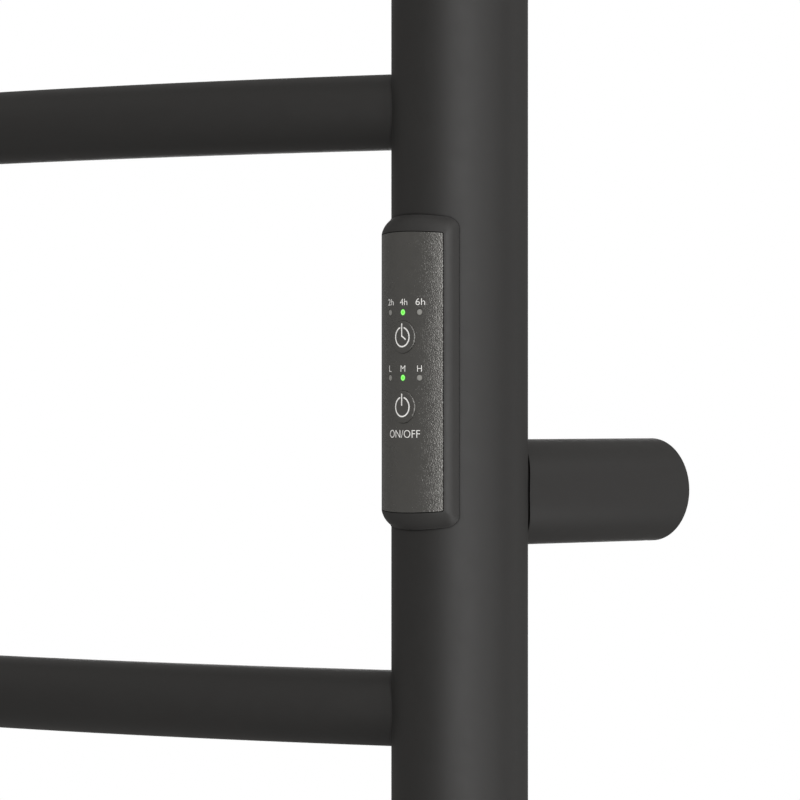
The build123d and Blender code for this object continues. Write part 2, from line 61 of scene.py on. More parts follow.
LENS_RIM = (0.4, 0.46)  # where its rim starts and ends to fade in
# Painted shade in seams follows this open-sky share: full at the first value, gone at the second.
SEAM_OPENNESS = (0.45, 0.95)  # share of open sky in the depth of a seam and just clear of it

Point = tuple[float, float, float]
Ring = list[Point]
FlatPoint = tuple[float, float]


# ---------------------------------------------------------------- colours and nodes


def hex_linear(code: str) -> tuple[float, float, float, float]:
    """Turn an sRGB hex colour into linear RGBA.

    Args:
        code: Six hex digits, with or without a leading hash.

    Returns:
        Linear red, green, blue and an alpha of 1.
    """
    digits = code.lstrip("#")
    channels = [int(digits[i : i + 2], 16) / 255 for i in (0, 2, 4)]
    linear = [c / 12.92 if c <= 0.04045 else ((c + 0.055) / 1.055) ** 2.4 for c in channels]
    return (linear[0], linear[1], linear[2], 1.0)


def add_node(
    tree: bpy.types.NodeTree,
    kind: str,
    settings: dict[str | int, object] | None = None,
    links: dict[str | int, bpy.types.NodeSocket] | None = None,
) -> bpy.types.Node:
    """Add a node, set it up and link it.

    Args:
        tree: Node tree that the node joins.
        kind: Blender's type name of the node.
        settings: Values by input name or number, or by attribute name where no input has that name.
        links: Sockets by the name or number of the input that they feed.

    Returns:
        The new node.
    """
    node = tree.nodes.new(kind)
    for name, value in (settings or {}).items():
        if isinstance(name, int) or name in node.inputs:
            node.inputs[name].default_value = value
        else:
            setattr(node, name, value)
    for name, socket in (links or {}).items():
        tree.links.new(socket, node.inputs[name])
    return node


def map_range(
    tree: bpy.types.NodeTree,
    value: bpy.types.NodeSocket,
    source: tuple[float, float],
    target: tuple[float, float],
) -> bpy.types.NodeSocket:
    """Map a value from one range to another, held at the ends.

    Args:
        tree: Node tree that the node joins.
        value: Socket of the value.
        source: Where the value starts and ends.
        target: What it becomes there.

    Returns:
        Socket of the mapped value.
    """
    settings = {"From Min": source[0], "From Max": source[1], "To Min": target[0], "To Max": target[1]}
    return add_node(tree, "ShaderNodeMapRange", settings, {"Value": value}).outputs["Result"]


class Slot(Enum):
    """Material slots of the record."""

    POWDER_COAT = "powder_coat"
    CAP = "cap_plastic"
    RUBBER = "saddle_rubber"
    CAST_ZINC = "cast_zinc"
    ZINC_STEEL = "zinc_steel"
    HOUSING = "housing_plastic"
    FILM = "label_film"
    LENS_OFF = "lens_off"
    LENS_LIT = "lens_lit"
    KEY = "key_plastic"
    BLACK = "black_plastic"
    PLUNGER = "switch_plunger"
    BOARD = "circuit_board"
    LED = "led_chip"
    JACKET = "cable_jacket"
    TERMINAL = "terminal_plastic"


@dataclass(frozen=True)
class Grain:
    """One scale of surface relief.

    Attributes:
        size: Width of one grain or ripple, in millimetres.
        height: How far it stands proud, in millimetres.
        detail: Number of finer layers on top.
        sharpness: Roughness of the finer layers, from 0 to 1.
    """

    size: float
    height: float
    detail: float = 2.0
    sharpness: float = 0.5


@dataclass(frozen=True)
class Finish:
    """A surface finish with its base colour, gloss and relief.

    Attributes:
        name: Name of the material it makes.
        slot: Record slot that it stands for.
        colour: sRGB hex of the body colour.
        mottle: sRGB hex that the body colour drifts towards.
        mottle_size: Width of the drift's patches, in millimetres.
        roughness: Micro-roughness of the surface.
        roughness_drift: How much the roughness varies over the patches.
        metallic: 1 for bare metal, otherwise 0.
        ior: Index of refraction, left alone on metals.
        specular: Specular level of the shader.
        coat: Weight of a clear coat on top.
        coat_roughness: Roughness of that clear coat.
        grains: Scales of relief, coarsest first.
        glow: sRGB hex of its light, or nothing: a lit lamp's own light, painted glow on a finish that is no
            lamp.
        glow_strength: Strength of that light.
        anisotropy: Stretch of the highlight along brushed lines.
        painted_shade_reach: Width of the painted shade line in a tight seam, in millimetres.
        light_left_in_painted_shade: Share of colour and specular level that the painted shade leaves deepest
            in a seam.
        core: sRGB hex at the middle of a lens, or nothing.
        rim: sRGB hex at the rim of a lens, or nothing.
    """

    name: str
    slot: Slot
    colour: str
    mottle: str
    mottle_size: float = 6.0
    roughness: float = 0.5
    roughness_drift: float = 0.04
    metallic: float = 0.0
    ior: float = 1.5
    specular: float = 0.5
    coat: float = 0.0
    coat_roughness: float = 0.1
    grains: tuple[Grain, ...] = ()
    glow: str = ""
    glow_strength: float = 0.0
    anisotropy: float = 0.0
    painted_shade_reach: float = 0.0
    light_left_in_painted_shade: float = 0.3
    core: str = ""
    rim: str = ""

    def material(self) -> bpy.types.Material:
        """Make the material once and hand it back each time.

        Returns:
            The finish's node material.
        """
        known = bpy.data.materials.get(self.name)
        if known is not None:
            return known
        made = bpy.data.materials.new(self.name)
        made.use_nodes = True
        tree = made.node_tree
        tree.nodes.clear()
        place = add_node(tree, "ShaderNodeTexCoord").outputs["Object"]
        settings = {"Scale": 1 / (self.mottle_size * MM), "Detail": 3.0, "Roughness": 0.6}
        patches = add_node(tree, "ShaderNodeTexNoise", settings, {"Vector": place}).outputs["Fac"]
        plain, drifted = hex_linear(self.colour), hex_linear(self.mottle)
        settings = {"data_type": "RGBA", FIRST_COLOUR: plain, SECOND_COLOUR: drifted}
        colour = add_node(tree, "ShaderNodeMix", settings, {"Factor": patches}).outputs[MIXED_COLOUR]
        if self.rim:
            colour = self._lens_rings(tree, colour)
        gloss = (self.roughness - self.roughness_drift, self.roughness + self.roughness_drift)
        roughness = map_range(tree, patches, (0.3, 0.7), gloss)
        shader = add_node(
            tree,
            "ShaderNodeBsdfPrincipled",
            {
                "Metallic": self.metallic,
                "Specular IOR Level": self.specular,
                "Coat Weight": self.coat,
                "Coat Roughness": self.coat_roughness,
                "Anisotropic": self.anisotropy,
                "IOR": self.ior,
            },
            {"Base Color": colour, "Roughness": roughness},
        )
        # Painted shade: ambient occlusion darkens colour and specular level in tight seams.
        if self.painted_shade_reach:
            self._paint_shade_in_seams(tree, colour, shader)
        # Emission: a lit lamp's own light, or painted glow on a finish that is no lamp.
        if self.glow:
            shader.inputs["Emission Color"].default_value = hex_linear(self.glow)
            shader.inputs["Emission Strength"].default_value = self.glow_strength
            if self.rim:
                tree.links.new(colour, shader.inputs["Emission Color"])
        relief = self._relief(tree, place)
        if relief is not None:
            tree.links.new(relief, shader.inputs["Normal"])
        add_node(tree, "ShaderNodeOutputMaterial", links={"Surface": shader.outputs["BSDF"]})
        return made

    def _lens_rings(self, tree: bpy.types.NodeTree, body: bpy.types.NodeSocket) -> bpy.types.NodeSocket:
        """Colour a lens in rings: its core, its body and its rim.

        Args:
            tree: The material's node tree.
            body: Colour between core and rim.

        Returns:
            The ringed colour.
        """
        box = add_node(tree, "ShaderNodeTexCoord").outputs["Generated"]
        centred = add_node(
            tree, "ShaderNodeVectorMath", {"operation": "SUBTRACT", 1: (0.5, 0.5, 0.5)}, {"Vector": box}
        ).outputs["Vector"]
        flat = add_node(
            tree, "ShaderNodeVectorMath", {"operation": "MULTIPLY", 1: (1.0, 0.0, 1.0)}, {"Vector": centred}
        ).outputs["Vector"]
        length = add_node(tree, "ShaderNodeVectorMath", {"operation": "LENGTH"}, {"Vector": flat})
        colour = body
        for tone, source, target in (
            (self.core or self.colour, LENS_CORE, (1.0, 0.0)),
            (self.rim, LENS_RIM, (0.0, 1.0)),
        ):
            share = map_range(tree, length.outputs["Value"], source, target)
            settings = {"data_type": "RGBA", SECOND_COLOUR: hex_linear(tone)}
            mixed = add_node(tree, "ShaderNodeMix", settings, {"Factor": share, FIRST_COLOUR: colour})
            colour = mixed.outputs[MIXED_COLOUR]
        return colour

    def _paint_shade_in_seams(
        self, tree: bpy.types.NodeTree, colour: bpy.types.NodeSocket, shader: bpy.types.Node
    ) -> None:
        """Paint shade into the coat where it runs into a tight seam: ambient occlusion darkens colour and
        specular level.

        Args:
            tree: The material's node tree.
            colour: The coat's colour.
            shader: The surface shader.
        """
        seam = add_node(tree, "ShaderNodeAmbientOcclusion", {"samples": 8, "Distance": self.painted_shade_reach * MM})
        left = map_range(tree, seam.outputs["AO"], SEAM_OPENNESS, (self.light_left_in_painted_shade, 1.0))
        darker = add_node(
            tree, "ShaderNodeVectorMath", {"operation": "SCALE"}, {"Vector": colour, "Scale": left}
        )
        level = add_node(tree, "ShaderNodeMath", {"operation": "MULTIPLY", 1: self.specular}, {0: left})
        tree.links.new(darker.outputs["Vector"], shader.inputs["Base Color"])
        tree.links.new(level.outputs["Value"], shader.inputs["Specular IOR Level"])

    def _relief(self, tree: bpy.types.NodeTree, place: bpy.types.NodeSocket) -> bpy.types.NodeSocket | None:
        """Stack the finish's grains as bump.

        Args:
            tree: The material's node tree.
            place: Coordinates that the grains are laid out in, in metres.

        Returns:
            The bumped normal, or nothing on a smooth finish.
        """
        normal = None
        for grain in self.grains:
            settings = {"Scale": 1 / (grain.size * MM), "Detail": grain.detail, "Roughness": grain.sharpness}
            noise = add_node(tree, "ShaderNodeTexNoise", settings, {"Vector": place}).outputs["Fac"]
            settings = {"Strength": 1.0, "Distance": grain.height * MM}
            bump = add_node(tree, "ShaderNodeBump", settings, {"Height": noise})
            if normal is not None:
                tree.links.new(normal, bump.inputs["Normal"])
            normal = bump.outputs["Normal"]
        return normal


# Polyester powder coat, sprayed and oven cured: a soft broad sheen over a faint orange peel.
POWDER_COAT = Finish(
    "polyester_powder_coat_cured",
    Slot.POWDER_COAT,
    "#2b2a29",
    "#2f2e2d",
    mottle_size=5.0,
    roughness=0.5,
    roughness_drift=0.03,
    ior=1.5,
    # Painted shade: the coat darkens in tight seams, where bars, standoffs and the control meet the posts.
    painted_shade_reach=1.0,
    light_left_in_painted_shade=0.15,
    grains=(Grain(2.4, 0.012, 1.0), Grain(0.5, 0.004, 2.0)),
)
# The control's housing is sprayed with the same coat, a little finer over the moulding.
HOUSING_COAT = Finish(
    "sprayed_coat_on_moulding",
    Slot.HOUSING,
    "#323130",
    "#363534",
    mottle_size=5.0,
    roughness=0.55,
    specular=0.65,
    # Painted shade: a dark line where the housing meets the post.
    painted_shade_reach=1.2,
    light_left_in_painted_shade=0.05,
    grains=(Grain(1.6, 0.006, 1.0), Grain(0.45, 0.003, 2.0)),
)
# Moulded nylon end caps with a spark-eroded mould face: dull, even and slightly grainy.
CAP_NYLON = Finish(
    "nylon_moulded_spark_texture",
    Slot.CAP,
    "#282726",
    "#2c2b2a",
    roughness=0.58,
    grains=(Grain(0.5, 0.01, 2.0),),
)
# Polycarbonate film, back-printed in metallic grey and embossed with a sandy grain: fine glints to the light.
FILM = Finish(
    "polycarbonate_film_metallic_sand_grain",
    Slot.FILM,
    "#7c7b78",
    "#848380",
    mottle_size=3.0,
    roughness=0.25,
    roughness_drift=0.03,
    metallic=0.85,
    specular=1.0,
    ior=1.58,
    grains=(Grain(0.3, 0.13, 0.0),),
)
# The key tops carry the same film, so that they read as part of the label.
KEY_TOP = replace(FILM, name="polycarbonate_key_metallic_sand_grain", slot=Slot.KEY)
# Screen-printed white ink: matte, dense and very slightly uneven, with a faint painted glow that lifts its
# white.
WHITE_INK = Finish(
    "screen_printed_white_ink",
    Slot.FILM,
    "#f2f1ee",
    "#e6e5e2",
    mottle_size=0.8,
    roughness=0.6,
    glow="#f2f1ee",
    glow_strength=0.3,
)
# Frosted acrylic light pipe with its light off: a flat mid grey disc, darker at its rim, with a faint painted
# glow though its light is off.
LENS_OFF = Finish(
    "acrylic_light_pipe_frosted_off",
    Slot.LENS_OFF,
    "#a3a29e",
    "#9c9b97",
    mottle_size=1.0,
    roughness=0.5,
    ior=1.49,
    glow="#8a8986",
    glow_strength=0.08,
    rim="#45443f",
)
# The same light pipe with its green light behind it.
LENS_LIT = Finish(
    "acrylic_light_pipe_frosted_green_lit",
    Slot.LENS_LIT,
    "#99f583",
    "#93f07c",
    mottle_size=1.0,
    roughness=0.4,
    ior=1.49,
    glow="#99f583",
    glow_strength=0.7,
    core="#5ff53c",
    rim="#2f8a22",
)
# Nitrile rubber, moulded: black and quite dull.
RUBBER = Finish(
    "nitrile_rubber_moulded",
    Slot.RUBBER,
    "#131313",
    "#181817",
    roughness=0.72,
    grains=(Grain(0.6, 0.008, 2.0),),
)
# Die-cast zinc, tumbled: grey metal with a soft uneven sheen.
CAST_ZINC = Finish(
    "zinc_die_cast_tumbled",
    Slot.CAST_ZINC,
    "#b4b4b1",
    "#a2a29f",
    mottle_size=4.0,
    roughness=0.42,
    roughness_drift=0.08,
    metallic=1.0,
    grains=(Grain(0.9, 0.012, 3.0),),
)
# Steel fixings, zinc plated and clear passivated: bright with a faint bluish drift.
ZINC_STEEL = Finish(
    "steel_zinc_plated_passivated",
    Slot.ZINC_STEEL,
    "#c9cacb",
    "#bcc0c6",
    mottle_size=3.0,
    roughness=0.28,
    roughness_drift=0.05,
    metallic=1.0,
    anisotropy=0.3,
    grains=(Grain(0.4, 0.002, 2.0),),
)
# Glass-filled nylon in black, moulded: dull, with a slightly fibrous skin.
BLACK_NYLON = Finish(
    "glass_filled_nylon_moulded_black",
    Slot.BLACK,
    "#161616",
    "#1d1d1c",
    mottle_size=2.0,
    roughness=0.55,
    grains=(Grain(0.5, 0.006, 3.0),),
)
# Acetal switch plunger, moulded: off-white and waxy.
ACETAL = Finish("acetal_plunger_moulded", Slot.PLUNGER, "#dcd9cf", "#d2cfc6", roughness=0.35, ior=1.48)
# Glass-epoxy circuit board under green solder mask: glossy, with a faint weave.
SOLDER_MASK = Finish(
    "glass_epoxy_board_solder_mask",
    Slot.BOARD,
    "#14532b",
    "#1a6134",
    mottle_size=1.2,
    roughness=0.3,
    coat=0.4,
    grains=(Grain(0.7, 0.004, 1.0),),
)
# Indicator light chips in clear epoxy.
LED_EPOXY = Finish("epoxy_light_chip_cast", Slot.LED, "#e8e6cf", "#dddbc4", roughness=0.2, ior=1.53)
# Silicone cable jacket, extruded: warm white with a soft sheen.
SILICONE = Finish(
    "silicone_jacket_extruded",
    Slot.JACKET,
    "#cfc9bb",
    "#c5bfb1",
    roughness=0.5,
    ior=1.43,
    grains=(Grain(1.5, 0.01, 1.0),),
)
# Ceramic-filled polyamide of the terminal block and sensors, moulded: chalky white.
TERMINAL_NYLON = Finish(
    "polyamide_terminal_moulded",
    Slot.TERMINAL,
    "#d9d8d2",
    "#cfcec8",
    roughness=0.5,
    grains=(Grain(0.6, 0.006, 2.0),),
)

FINISHES = (
    POWDER_COAT, HOUSING_COAT, CAP_NYLON, FILM, KEY_TOP, LENS_OFF, LENS_LIT, RUBBER,
    CAST_ZINC, ZINC_STEEL, BLACK_NYLON, ACETAL, SOLDER_MASK, LED_EPOXY, SILICONE, TERMINAL_NYLON,
)
CARRIED_OVER: dict[Slot, Finish] = {finish.slot: finish for finish in FINISHES}

KEYS = ("timer_button", "power_button")
LENSES: dict[str, Finish] = {
    "lens_2h": LENS_OFF,
    "lens_4h": LENS_LIT,
    "lens_6h": LENS_OFF,
    "lens_low": LENS_OFF,
    "lens_medium": LENS_LIT,
    "lens_high": LENS_OFF,
}


# ---------------------------------------------------------------- mesh building


def put_in_scene(name: str, data: bpy.types.ID) -> bpy.types.Object:
    """Make an object of a mesh, curve, light or camera, and link it."""
    made = bpy.data.objects.new(name, data)
    bpy.context.scene.collection.objects.link(made)
    return made


def baked_mesh(made: bpy.types.Object) -> bpy.types.Mesh:
    """Turn a curve, or a mesh with its modifiers, into a plain mesh."""
    bpy.context.view_layer.update()
    return bpy.data.meshes.new_from_object(made.evaluated_get(bpy.context.evaluated_depsgraph_get()))


def circle_angles(count: int) -> list[float]:
    """Evenly spaced angles round a circle, in radians."""
    return [2 * math.pi * n / count for n in range(count)]


def level_circle(x: float, y: float, z: float, reach: float, angles: Sequence[float]) -> Ring:
    """Level circle round an upright axis."""
    return [(x + reach * math.cos(a), y + reach * math.sin(a), z) for a in angles]


def quarter_round(radius: float, steps: int) -> list[FlatPoint]:
    """Walk round a softened edge, from a side up to the face on top.

    Args:
        radius: Radius of the edge.
        steps: Number of steps.

    Returns:
        How far each point lies inside the side and below the face.
    """
    turns = [math.pi / 2 * n / steps for n in range(steps + 1)]
    return [(radius * (1 - math.cos(t)), radius * (1 - math.sin(t))) for t in turns]


def flat_shape(loops: Sequence[Sequence[FlatPoint]]) -> bmesh.types.BMesh:
    """Fill an outline, less its holes, in the XZ plane.

    Args:
        loops: The outline and any holes, as points (x, z) in metres.

    Returns:
        The flat shape.
    """
    flat = bmesh.new()
    edges = []
    for loop in loops:
        verts = [flat.verts.new((x, 0.0, z)) for x, z in loop]
        edges += [flat.edges.new((verts[n], verts[(n + 1) % len(verts)])) for n in range(len(verts))]
    bmesh.ops.triangle_fill(flat, use_beauty=True, use_dissolve=False, edges=edges, normal=(0, -1, 0))
    return flat


def cut_in_strips(flat: bmesh.types.BMesh, half_width: float, strips: int) -> None:
    """Cut a flat shape into upright strips, so that it can bend round the post.

    Args:
        flat: The shape in the XZ plane.
        half_width: Half of its width, in metres.
        strips: Number of strips.
    """
    for n in range(1, strips):
        x = half_width * (-1 + 2 * n / strips)
        everything = flat.verts[:] + flat.edges[:] + flat.faces[:]
        bmesh.ops.bisect_plane(flat, geom=everything, dist=1e-8, plane_co=(x, 0, 0), plane_no=(1, 0, 0))


@dataclass
class Skin:
    """Points and faces of one piece while it is being built, in metres in the row frame."""

    points: list[Point] = field(default_factory=list)
    faces: list[tuple[int, ...]] = field(default_factory=list)

    def loft(self, rings: Sequence[Ring], skip: Callable[[int, int], bool] | None = None) -> None:
        """Join closed rings of equal length with quads.

        Args:
            rings: Rings of points, in order.
            skip: Tells, from a quad's row and its place in the row, whether it is left out.
        """
        first = len(self.points)
        count = len(rings[0])
        for ring in rings:
            self.points.extend(ring)
        for row in range(len(rings) - 1):
            a, b = first + row * count, first + (row + 1) * count
            for n in range(count):
                if skip is None or not skip(row, n):
                    m = (n + 1) % count
                    self.faces.append((a + n, a + m, b + m, b + n))

    def fill(self, ring: Ring) -> None:
        """Close a ring with a fan round its middle.

        Args:
            ring: Points of the ring.
        """
        first = len(self.points)
        middle = tuple(sum(p[k] for p in ring) / len(ring) for k in range(3))
        self.points.append(middle)
        self.points.extend(ring)
        for n in range(len(ring)):
            m = (n + 1) % len(ring)
            self.faces.append((first, first + 1 + n, first + 1 + m))

    def absorb(self, mesh: bmesh.types.BMesh) -> None:
        """Take in the points and faces of a bmesh, and free it.

        Args:
            mesh: The bmesh to take in.
        """
        first = len(self.points)
        mesh.verts.index_update()
        self.points.extend(tuple(v.co) for v in mesh.verts)
        self.faces.extend(tuple(first + v.index for v in f.verts) for f in mesh.faces)
        mesh.free()

    def piece(
        self,
        name: str,
        finish: Finish,
        body: str = FRAME_BODY,
        stands_for: Sequence[str] = (),
        sharp: float = CRISP_ANGLE,
        bevel: float = 0.0,
    ) -> bpy.types.Object:
        """Turn the skin into a finished piece that rides on a body.

        Args:
            name: Name of the piece.
            finish: Its finish.
            body: CAD body that it rides on.
            stands_for: CAD nodes that it replaces.
            sharp: Angle above which an edge stays crisp, in degrees.
            bevel: Width of a softened edge, in millimetres.

        Returns:
            The new object.
        """
        mesh = bpy.data.meshes.new(name)
        mesh.from_pydata(self.points, [], self.faces)
        work = bmesh.new()
        work.from_mesh(mesh)
        bmesh.ops.remove_doubles(work, verts=work.verts, dist=1e-7)
        bmesh.ops.recalc_face_normals(work, faces=work.faces)
        work.to_mesh(mesh)
        work.free()
        mesh.shade_smooth()
        mesh.set_sharp_from_angle(angle=math.radians(sharp))
        made = put_in_scene(name, mesh)
        mesh.materials.append(finish.material())
        if bevel:
            soften = made.modifiers.new("soft_edges", "BEVEL")
            soften.width = bevel * MM
            soften.segments = 2
            soften.limit_method = "ANGLE"
            soften.angle_limit = math.radians(40)
            soften.harden_normals = True
        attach(made, body)
        if stands_for:
            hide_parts(*stands_for)
        LOG.info("%s: %d points on body %s", name, len(mesh.vertices), body)
        return made


def rounded_rectangle(
    half_width: float, half_height: float, corner: float, steps: tuple[int, int, int]
) -> list[FlatPoint]:
    """Outline of a rounded rectangle, anticlockwise, with a fixed number of points.

    Args:
        half_width: Half of its width.
        half_height: Half of its height.
        corner: Corner radius.
        steps: Points along each end, each side and each corner.

    Returns:
        Points (x, z) of the outline.
    """
    along_end, along_side, along_corner = steps
    inner_x, inner_z = half_width - corner, half_height - corner
    outline: list[FlatPoint] = []
    corners = ((1, 1, 0), (-1, 1, 90), (-1, -1, 180), (1, -1, 270))
    for index, (sx, sz, start) in enumerate(corners):
        for n in range(along_corner + 1):
            turn = math.radians(start + 90 * n / along_corner)
            outline.append((sx * inner_x + corner * math.cos(turn), sz * inner_z + corner * math.sin(turn)))
        x, z = outline[-1]
        next_sx, next_sz, next_start = corners[(index + 1) % 4]
        turn = math.radians(next_start)
        run_x = next_sx * inner_x + corner * math.cos(turn) - x
        run_z = next_sz * inner_z + corner * math.sin(turn) - z
        count = along_end if index % 2 == 0 else along_side
        outline += [(x + run_x * n / count, z + run_z * n / count) for n in range(1, count)]
    return outline


# ---------------------------------------------------------------- posts, bars and standoffs


@dataclass
class Posts:
    """The two upright tubes.

    Attributes:
        wall: Thickness of the tube, in millimetres.
        facets: Facets round a tube.
        slot_width: Width of the control's opening, in millimetres.
        slot_length: Height of that opening, in millimetres.
        lip: Width of the eased edge at the tube's ends, in millimetres.
    """

    wall: float = 1.5
    facets: int = 180
    slot_width: float = 20.0
    slot_length: float = 66.0
    lip: float = 0.3

    def axis(self, side: str) -> tuple[float, float, float]:
        """Place and radius of one post.

        Args:
            side: "left" or "right".

        Returns:
            X and Y of its axis and its radius, in metres.
        """
        low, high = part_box(f"post_{side}")
        return ((low.x + high.x) / 2, (low.y + high.y) / 2, (high.x - low.x) / 2)

    def build(self) -> None:
        """Build both tubes, the right one with its slot."""
        for side in ("left", "right"):
            self._tube(side)

    def _tube(self, side: str) -> None:
        """Build one tube.

        Args:
            side: "left" or "right".
        """
        x, y, radius = self.axis(side)
        low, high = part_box(f"post_{side}")
        housing_low, housing_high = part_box("control_housing")
        slot_middle = (housing_low.z + housing_high.z) / 2
        slot_low = slot_middle - self.slot_length * MM / 2
        slot_high = slot_middle + self.slot_length * MM / 2
        slot_turn = math.asin(self.slot_width * MM / 2 / radius)
        lip = self.lip * MM
        levels = sorted({low.z, low.z + lip, slot_low, slot_high, high.z - lip, high.z})
        angles = [a - math.pi / 2 for a in circle_angles(self.facets)]
        inner = radius - self.wall * MM

        def in_slot(row: int, n: int) -> bool:
            """Tell whether a quad of the tube lies in the control's slot.

            Args:
                row: Row of the quad, counted from the tube's foot.
                n: Place of the quad round the tube.

            Returns:
                True for a quad to leave out.
            """
            turn = (angles[n] + math.pi / self.facets + math.pi * 1.5) % (2 * math.pi) - math.pi
            within = slot_low <= levels[row] and levels[row + 1] <= slot_high
            return side == "right" and within and abs(turn) < slot_turn

        skin = Skin()
        eased = [radius - (lip if level in (low.z, high.z) else 0.0) for level in levels]
        skin.loft([level_circle(x, y, level, reach, angles) for level, reach in zip(levels, eased)], in_slot)
        skin.loft([level_circle(x, y, level, inner, angles) for level in levels], in_slot)
        for level in (low.z, high.z):
            skin.loft([level_circle(x, y, level, reach, angles) for reach in (radius - lip, inner)])
        skin.piece(f"post_{side}_tube", POWDER_COAT, stands_for=(f"post_{side}",))


@dataclass
class Bars:
    """The bowed towel bars.

    Attributes:
        posts: The posts that they are welded to.
        count: Number of bars.
        facets: Facets round a bar.
        steps: Rings along a bar.
        coat_fillet: Radius of the coat where it bridges bar and post, in millimetres.
    """

    posts: Posts
    count: int = 6
    facets: int = 96
    steps: int = 120
    coat_fillet: float = 0.35

    def build(self) -> None:
        """Build every bar."""
        for n in range(1, self.count + 1):
            self._bar(n)

    def _bar(self, number: int) -> None:
        """Build one bar, coped to both posts.

        Args:
            number: Which bar, from the lowest.
        """
        low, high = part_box(f"bar_{number}")
        level = (low.z + high.z) / 2
        tube = (high.z - low.z) / 2
        x, y, post = self.posts.axis("right")
        bow = y - (low.y + tube)
        bend = (x * x + bow * bow) / (2 * bow)
        centre_y = y - bow + bend
        fillet = self.coat_fillet * MM

        def coped(around: float, swell: float, gap: float) -> float:
            """Turn along the bow where a line of the bar's surface meets the post.

            Args:
                around: Place of the line round the bar, in radians.
                swell: How far the coat stands proud of the bar.
                gap: How far from the post the line ends.

            Returns:
                The turn from the middle of the bow, in radians.
            """
            reach = bend + (tube + swell) * math.cos(around)
            lift = centre_y - y
            span = math.hypot(x, lift)
            share = (reach**2 + span**2 - (post + gap) ** 2) / (2 * reach * span)
            return math.atan2(x, lift) - math.acos(max(-1.0, min(1.0, share)))

        def at(around: float, turn: float, swell: float) -> Point:
            """Point of the bar's surface."""
            reach = bend + (tube + swell) * math.cos(around)
            rise = (tube + swell) * math.sin(around)
            return (reach * math.sin(turn), centre_y - reach * math.cos(turn), level + rise)

        around = circle_angles(self.facets)
        stations = quarter_round(fillet, 5)
        rings = [[at(a, -coped(a, swell, gap), swell) for a in around] for gap, swell in stations]
        for n in range(1, self.steps):
            share = -1 + 2 * n / self.steps
            rings.append([at(a, share * coped(a, 0.0, fillet), 0.0) for a in around])
        rings += [[at(a, coped(a, swell, gap), swell) for a in around] for gap, swell in reversed(stations)]
        skin = Skin()
        skin.loft(rings)
        skin.piece(f"bar_{number}_bowed", POWDER_COAT, stands_for=(f"bar_{number}",), sharp=60)


@dataclass
class Standoffs:
    """Sleeves from the posts to the wall.

    Attributes:
        posts: The posts that they are bolted to.
        wall: Thickness of a sleeve, in millimetres.
        web: Thickness of the bolted web, in millimetres.
        saddle: Gap to the post, filled by the saddle washer, in millimetres.
        rim: Radius of the coped edge, in millimetres.
        chamfer: Chamfer at the wall end, in millimetres.
        bolt_hole: Radius of the hole in the web, in millimetres.
        grub_hole: Radius of the grub screw's hole, in millimetres.
        drill_depth: Length of the cutter that makes that hole, in millimetres.
        facets: Facets round a sleeve.
    """

    posts: Posts
    wall: float = 2.0
    web: float = 7.5
    saddle: float = 0.5
    rim: float = 0.35
    chamfer: float = 0.4
    bolt_hole: float = 4.2
    grub_hole: float = 2.1
    drill_depth: float = 6.0
    facets: int = 144

    def build(self) -> None:
        """Build the four sleeves."""
        for level in ("top", "bottom"):
            for side in ("left", "right"):
                self._sleeve(level, side)

    def _sleeve(self, level: str, side: str) -> None:
        """Build one sleeve.

        Args:
            level: "top" or "bottom".
            side: "left" or "right".
        """
        node = f"standoff_{level}_{side}"
        low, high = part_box(node)
        x, z = (low.x + high.x) / 2, (low.z + high.z) / 2
        radius = (high.x - low.x) / 2
        wall_y = high.y
        _, post_y, post = self.posts.axis(side)
        cope = post + self.saddle * MM
        inner, bolt = radius - self.wall * MM, self.bolt_hole * MM
        web_y = post_y + cope + self.web * MM
        rim, chamfer = self.rim * MM, self.chamfer * MM

        def ring(reach: float, y: float | None, gap: float = 0.0) -> Ring:
            """Ring round the sleeve's axis, flat or wrapped on the post.

            Args:
                reach: Radius of the ring.
                y: Where a flat ring lies, or nothing for one that is wrapped on the post.
                gap: How far beyond the saddle a wrapped ring lies.

            Returns:
                Points of the ring.
            """
            points = []
            for a in circle_angles(self.facets):
                px, pz = reach * math.cos(a), reach * math.sin(a)
                py = y if y is not None else post_y + math.sqrt((cope + gap) ** 2 - px * px)
                points.append((x + px, py, z + pz))
            return points

        rings = [ring(bolt, web_y), ring(bolt, None)]
        rings += [ring(radius - inward, None, gap) for gap, inward in quarter_round(rim, 5)]
        rings += [ring(radius, wall_y - chamfer), ring(radius - chamfer, wall_y)]
        rings += [ring(inner, wall_y), ring(inner, web_y), ring(bolt, web_y)]
        skin = Skin()
        skin.loft(rings)
        sleeve = skin.piece(f"{node}_sleeve", POWDER_COAT, stands_for=(node,))
        self._drill(sleeve, x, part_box(f"wall_disc_{level}_{side}"), z, radius)

    def _drill(
        self, sleeve: bpy.types.Object, x: float, disc: tuple[Vector, Vector], z: float, radius: float
    ) -> None:
        """Drill the grub screw's hole in the underside of a sleeve.

        Args:
            sleeve: The sleeve's object.
            x: X of its axis.
            disc: Box of the wall disc inside it.
            z: Z of its axis.
            radius: Its outer radius.
        """
        drill = bmesh.new()
        hole = self.grub_hole * MM
        bmesh.ops.create_cone(
            drill, cap_ends=True, segments=32, radius1=hole, radius2=hole, depth=self.drill_depth * MM
        )
        bmesh.ops.translate(drill, verts=drill.verts, vec=(x, (disc[0].y + disc[1].y) / 2, z - radius))
        mesh = bpy.data.meshes.new("drill")
        drill.to_mesh(mesh)
        drill.free()
        tool = put_in_scene("drill", mesh)
        cut = sleeve.modifiers.new("grub_hole", "BOOLEAN")
        cut.operation = "DIFFERENCE"
        cut.solver = "EXACT"
        cut.object = tool
        drilled = baked_mesh(sleeve)
        sleeve.modifiers.clear()
        sleeve.data = drilled
        drilled.shade_smooth()
        drilled.set_sharp_from_angle(angle=math.radians(CRISP_ANGLE))
        bpy.data.objects.remove(tool)


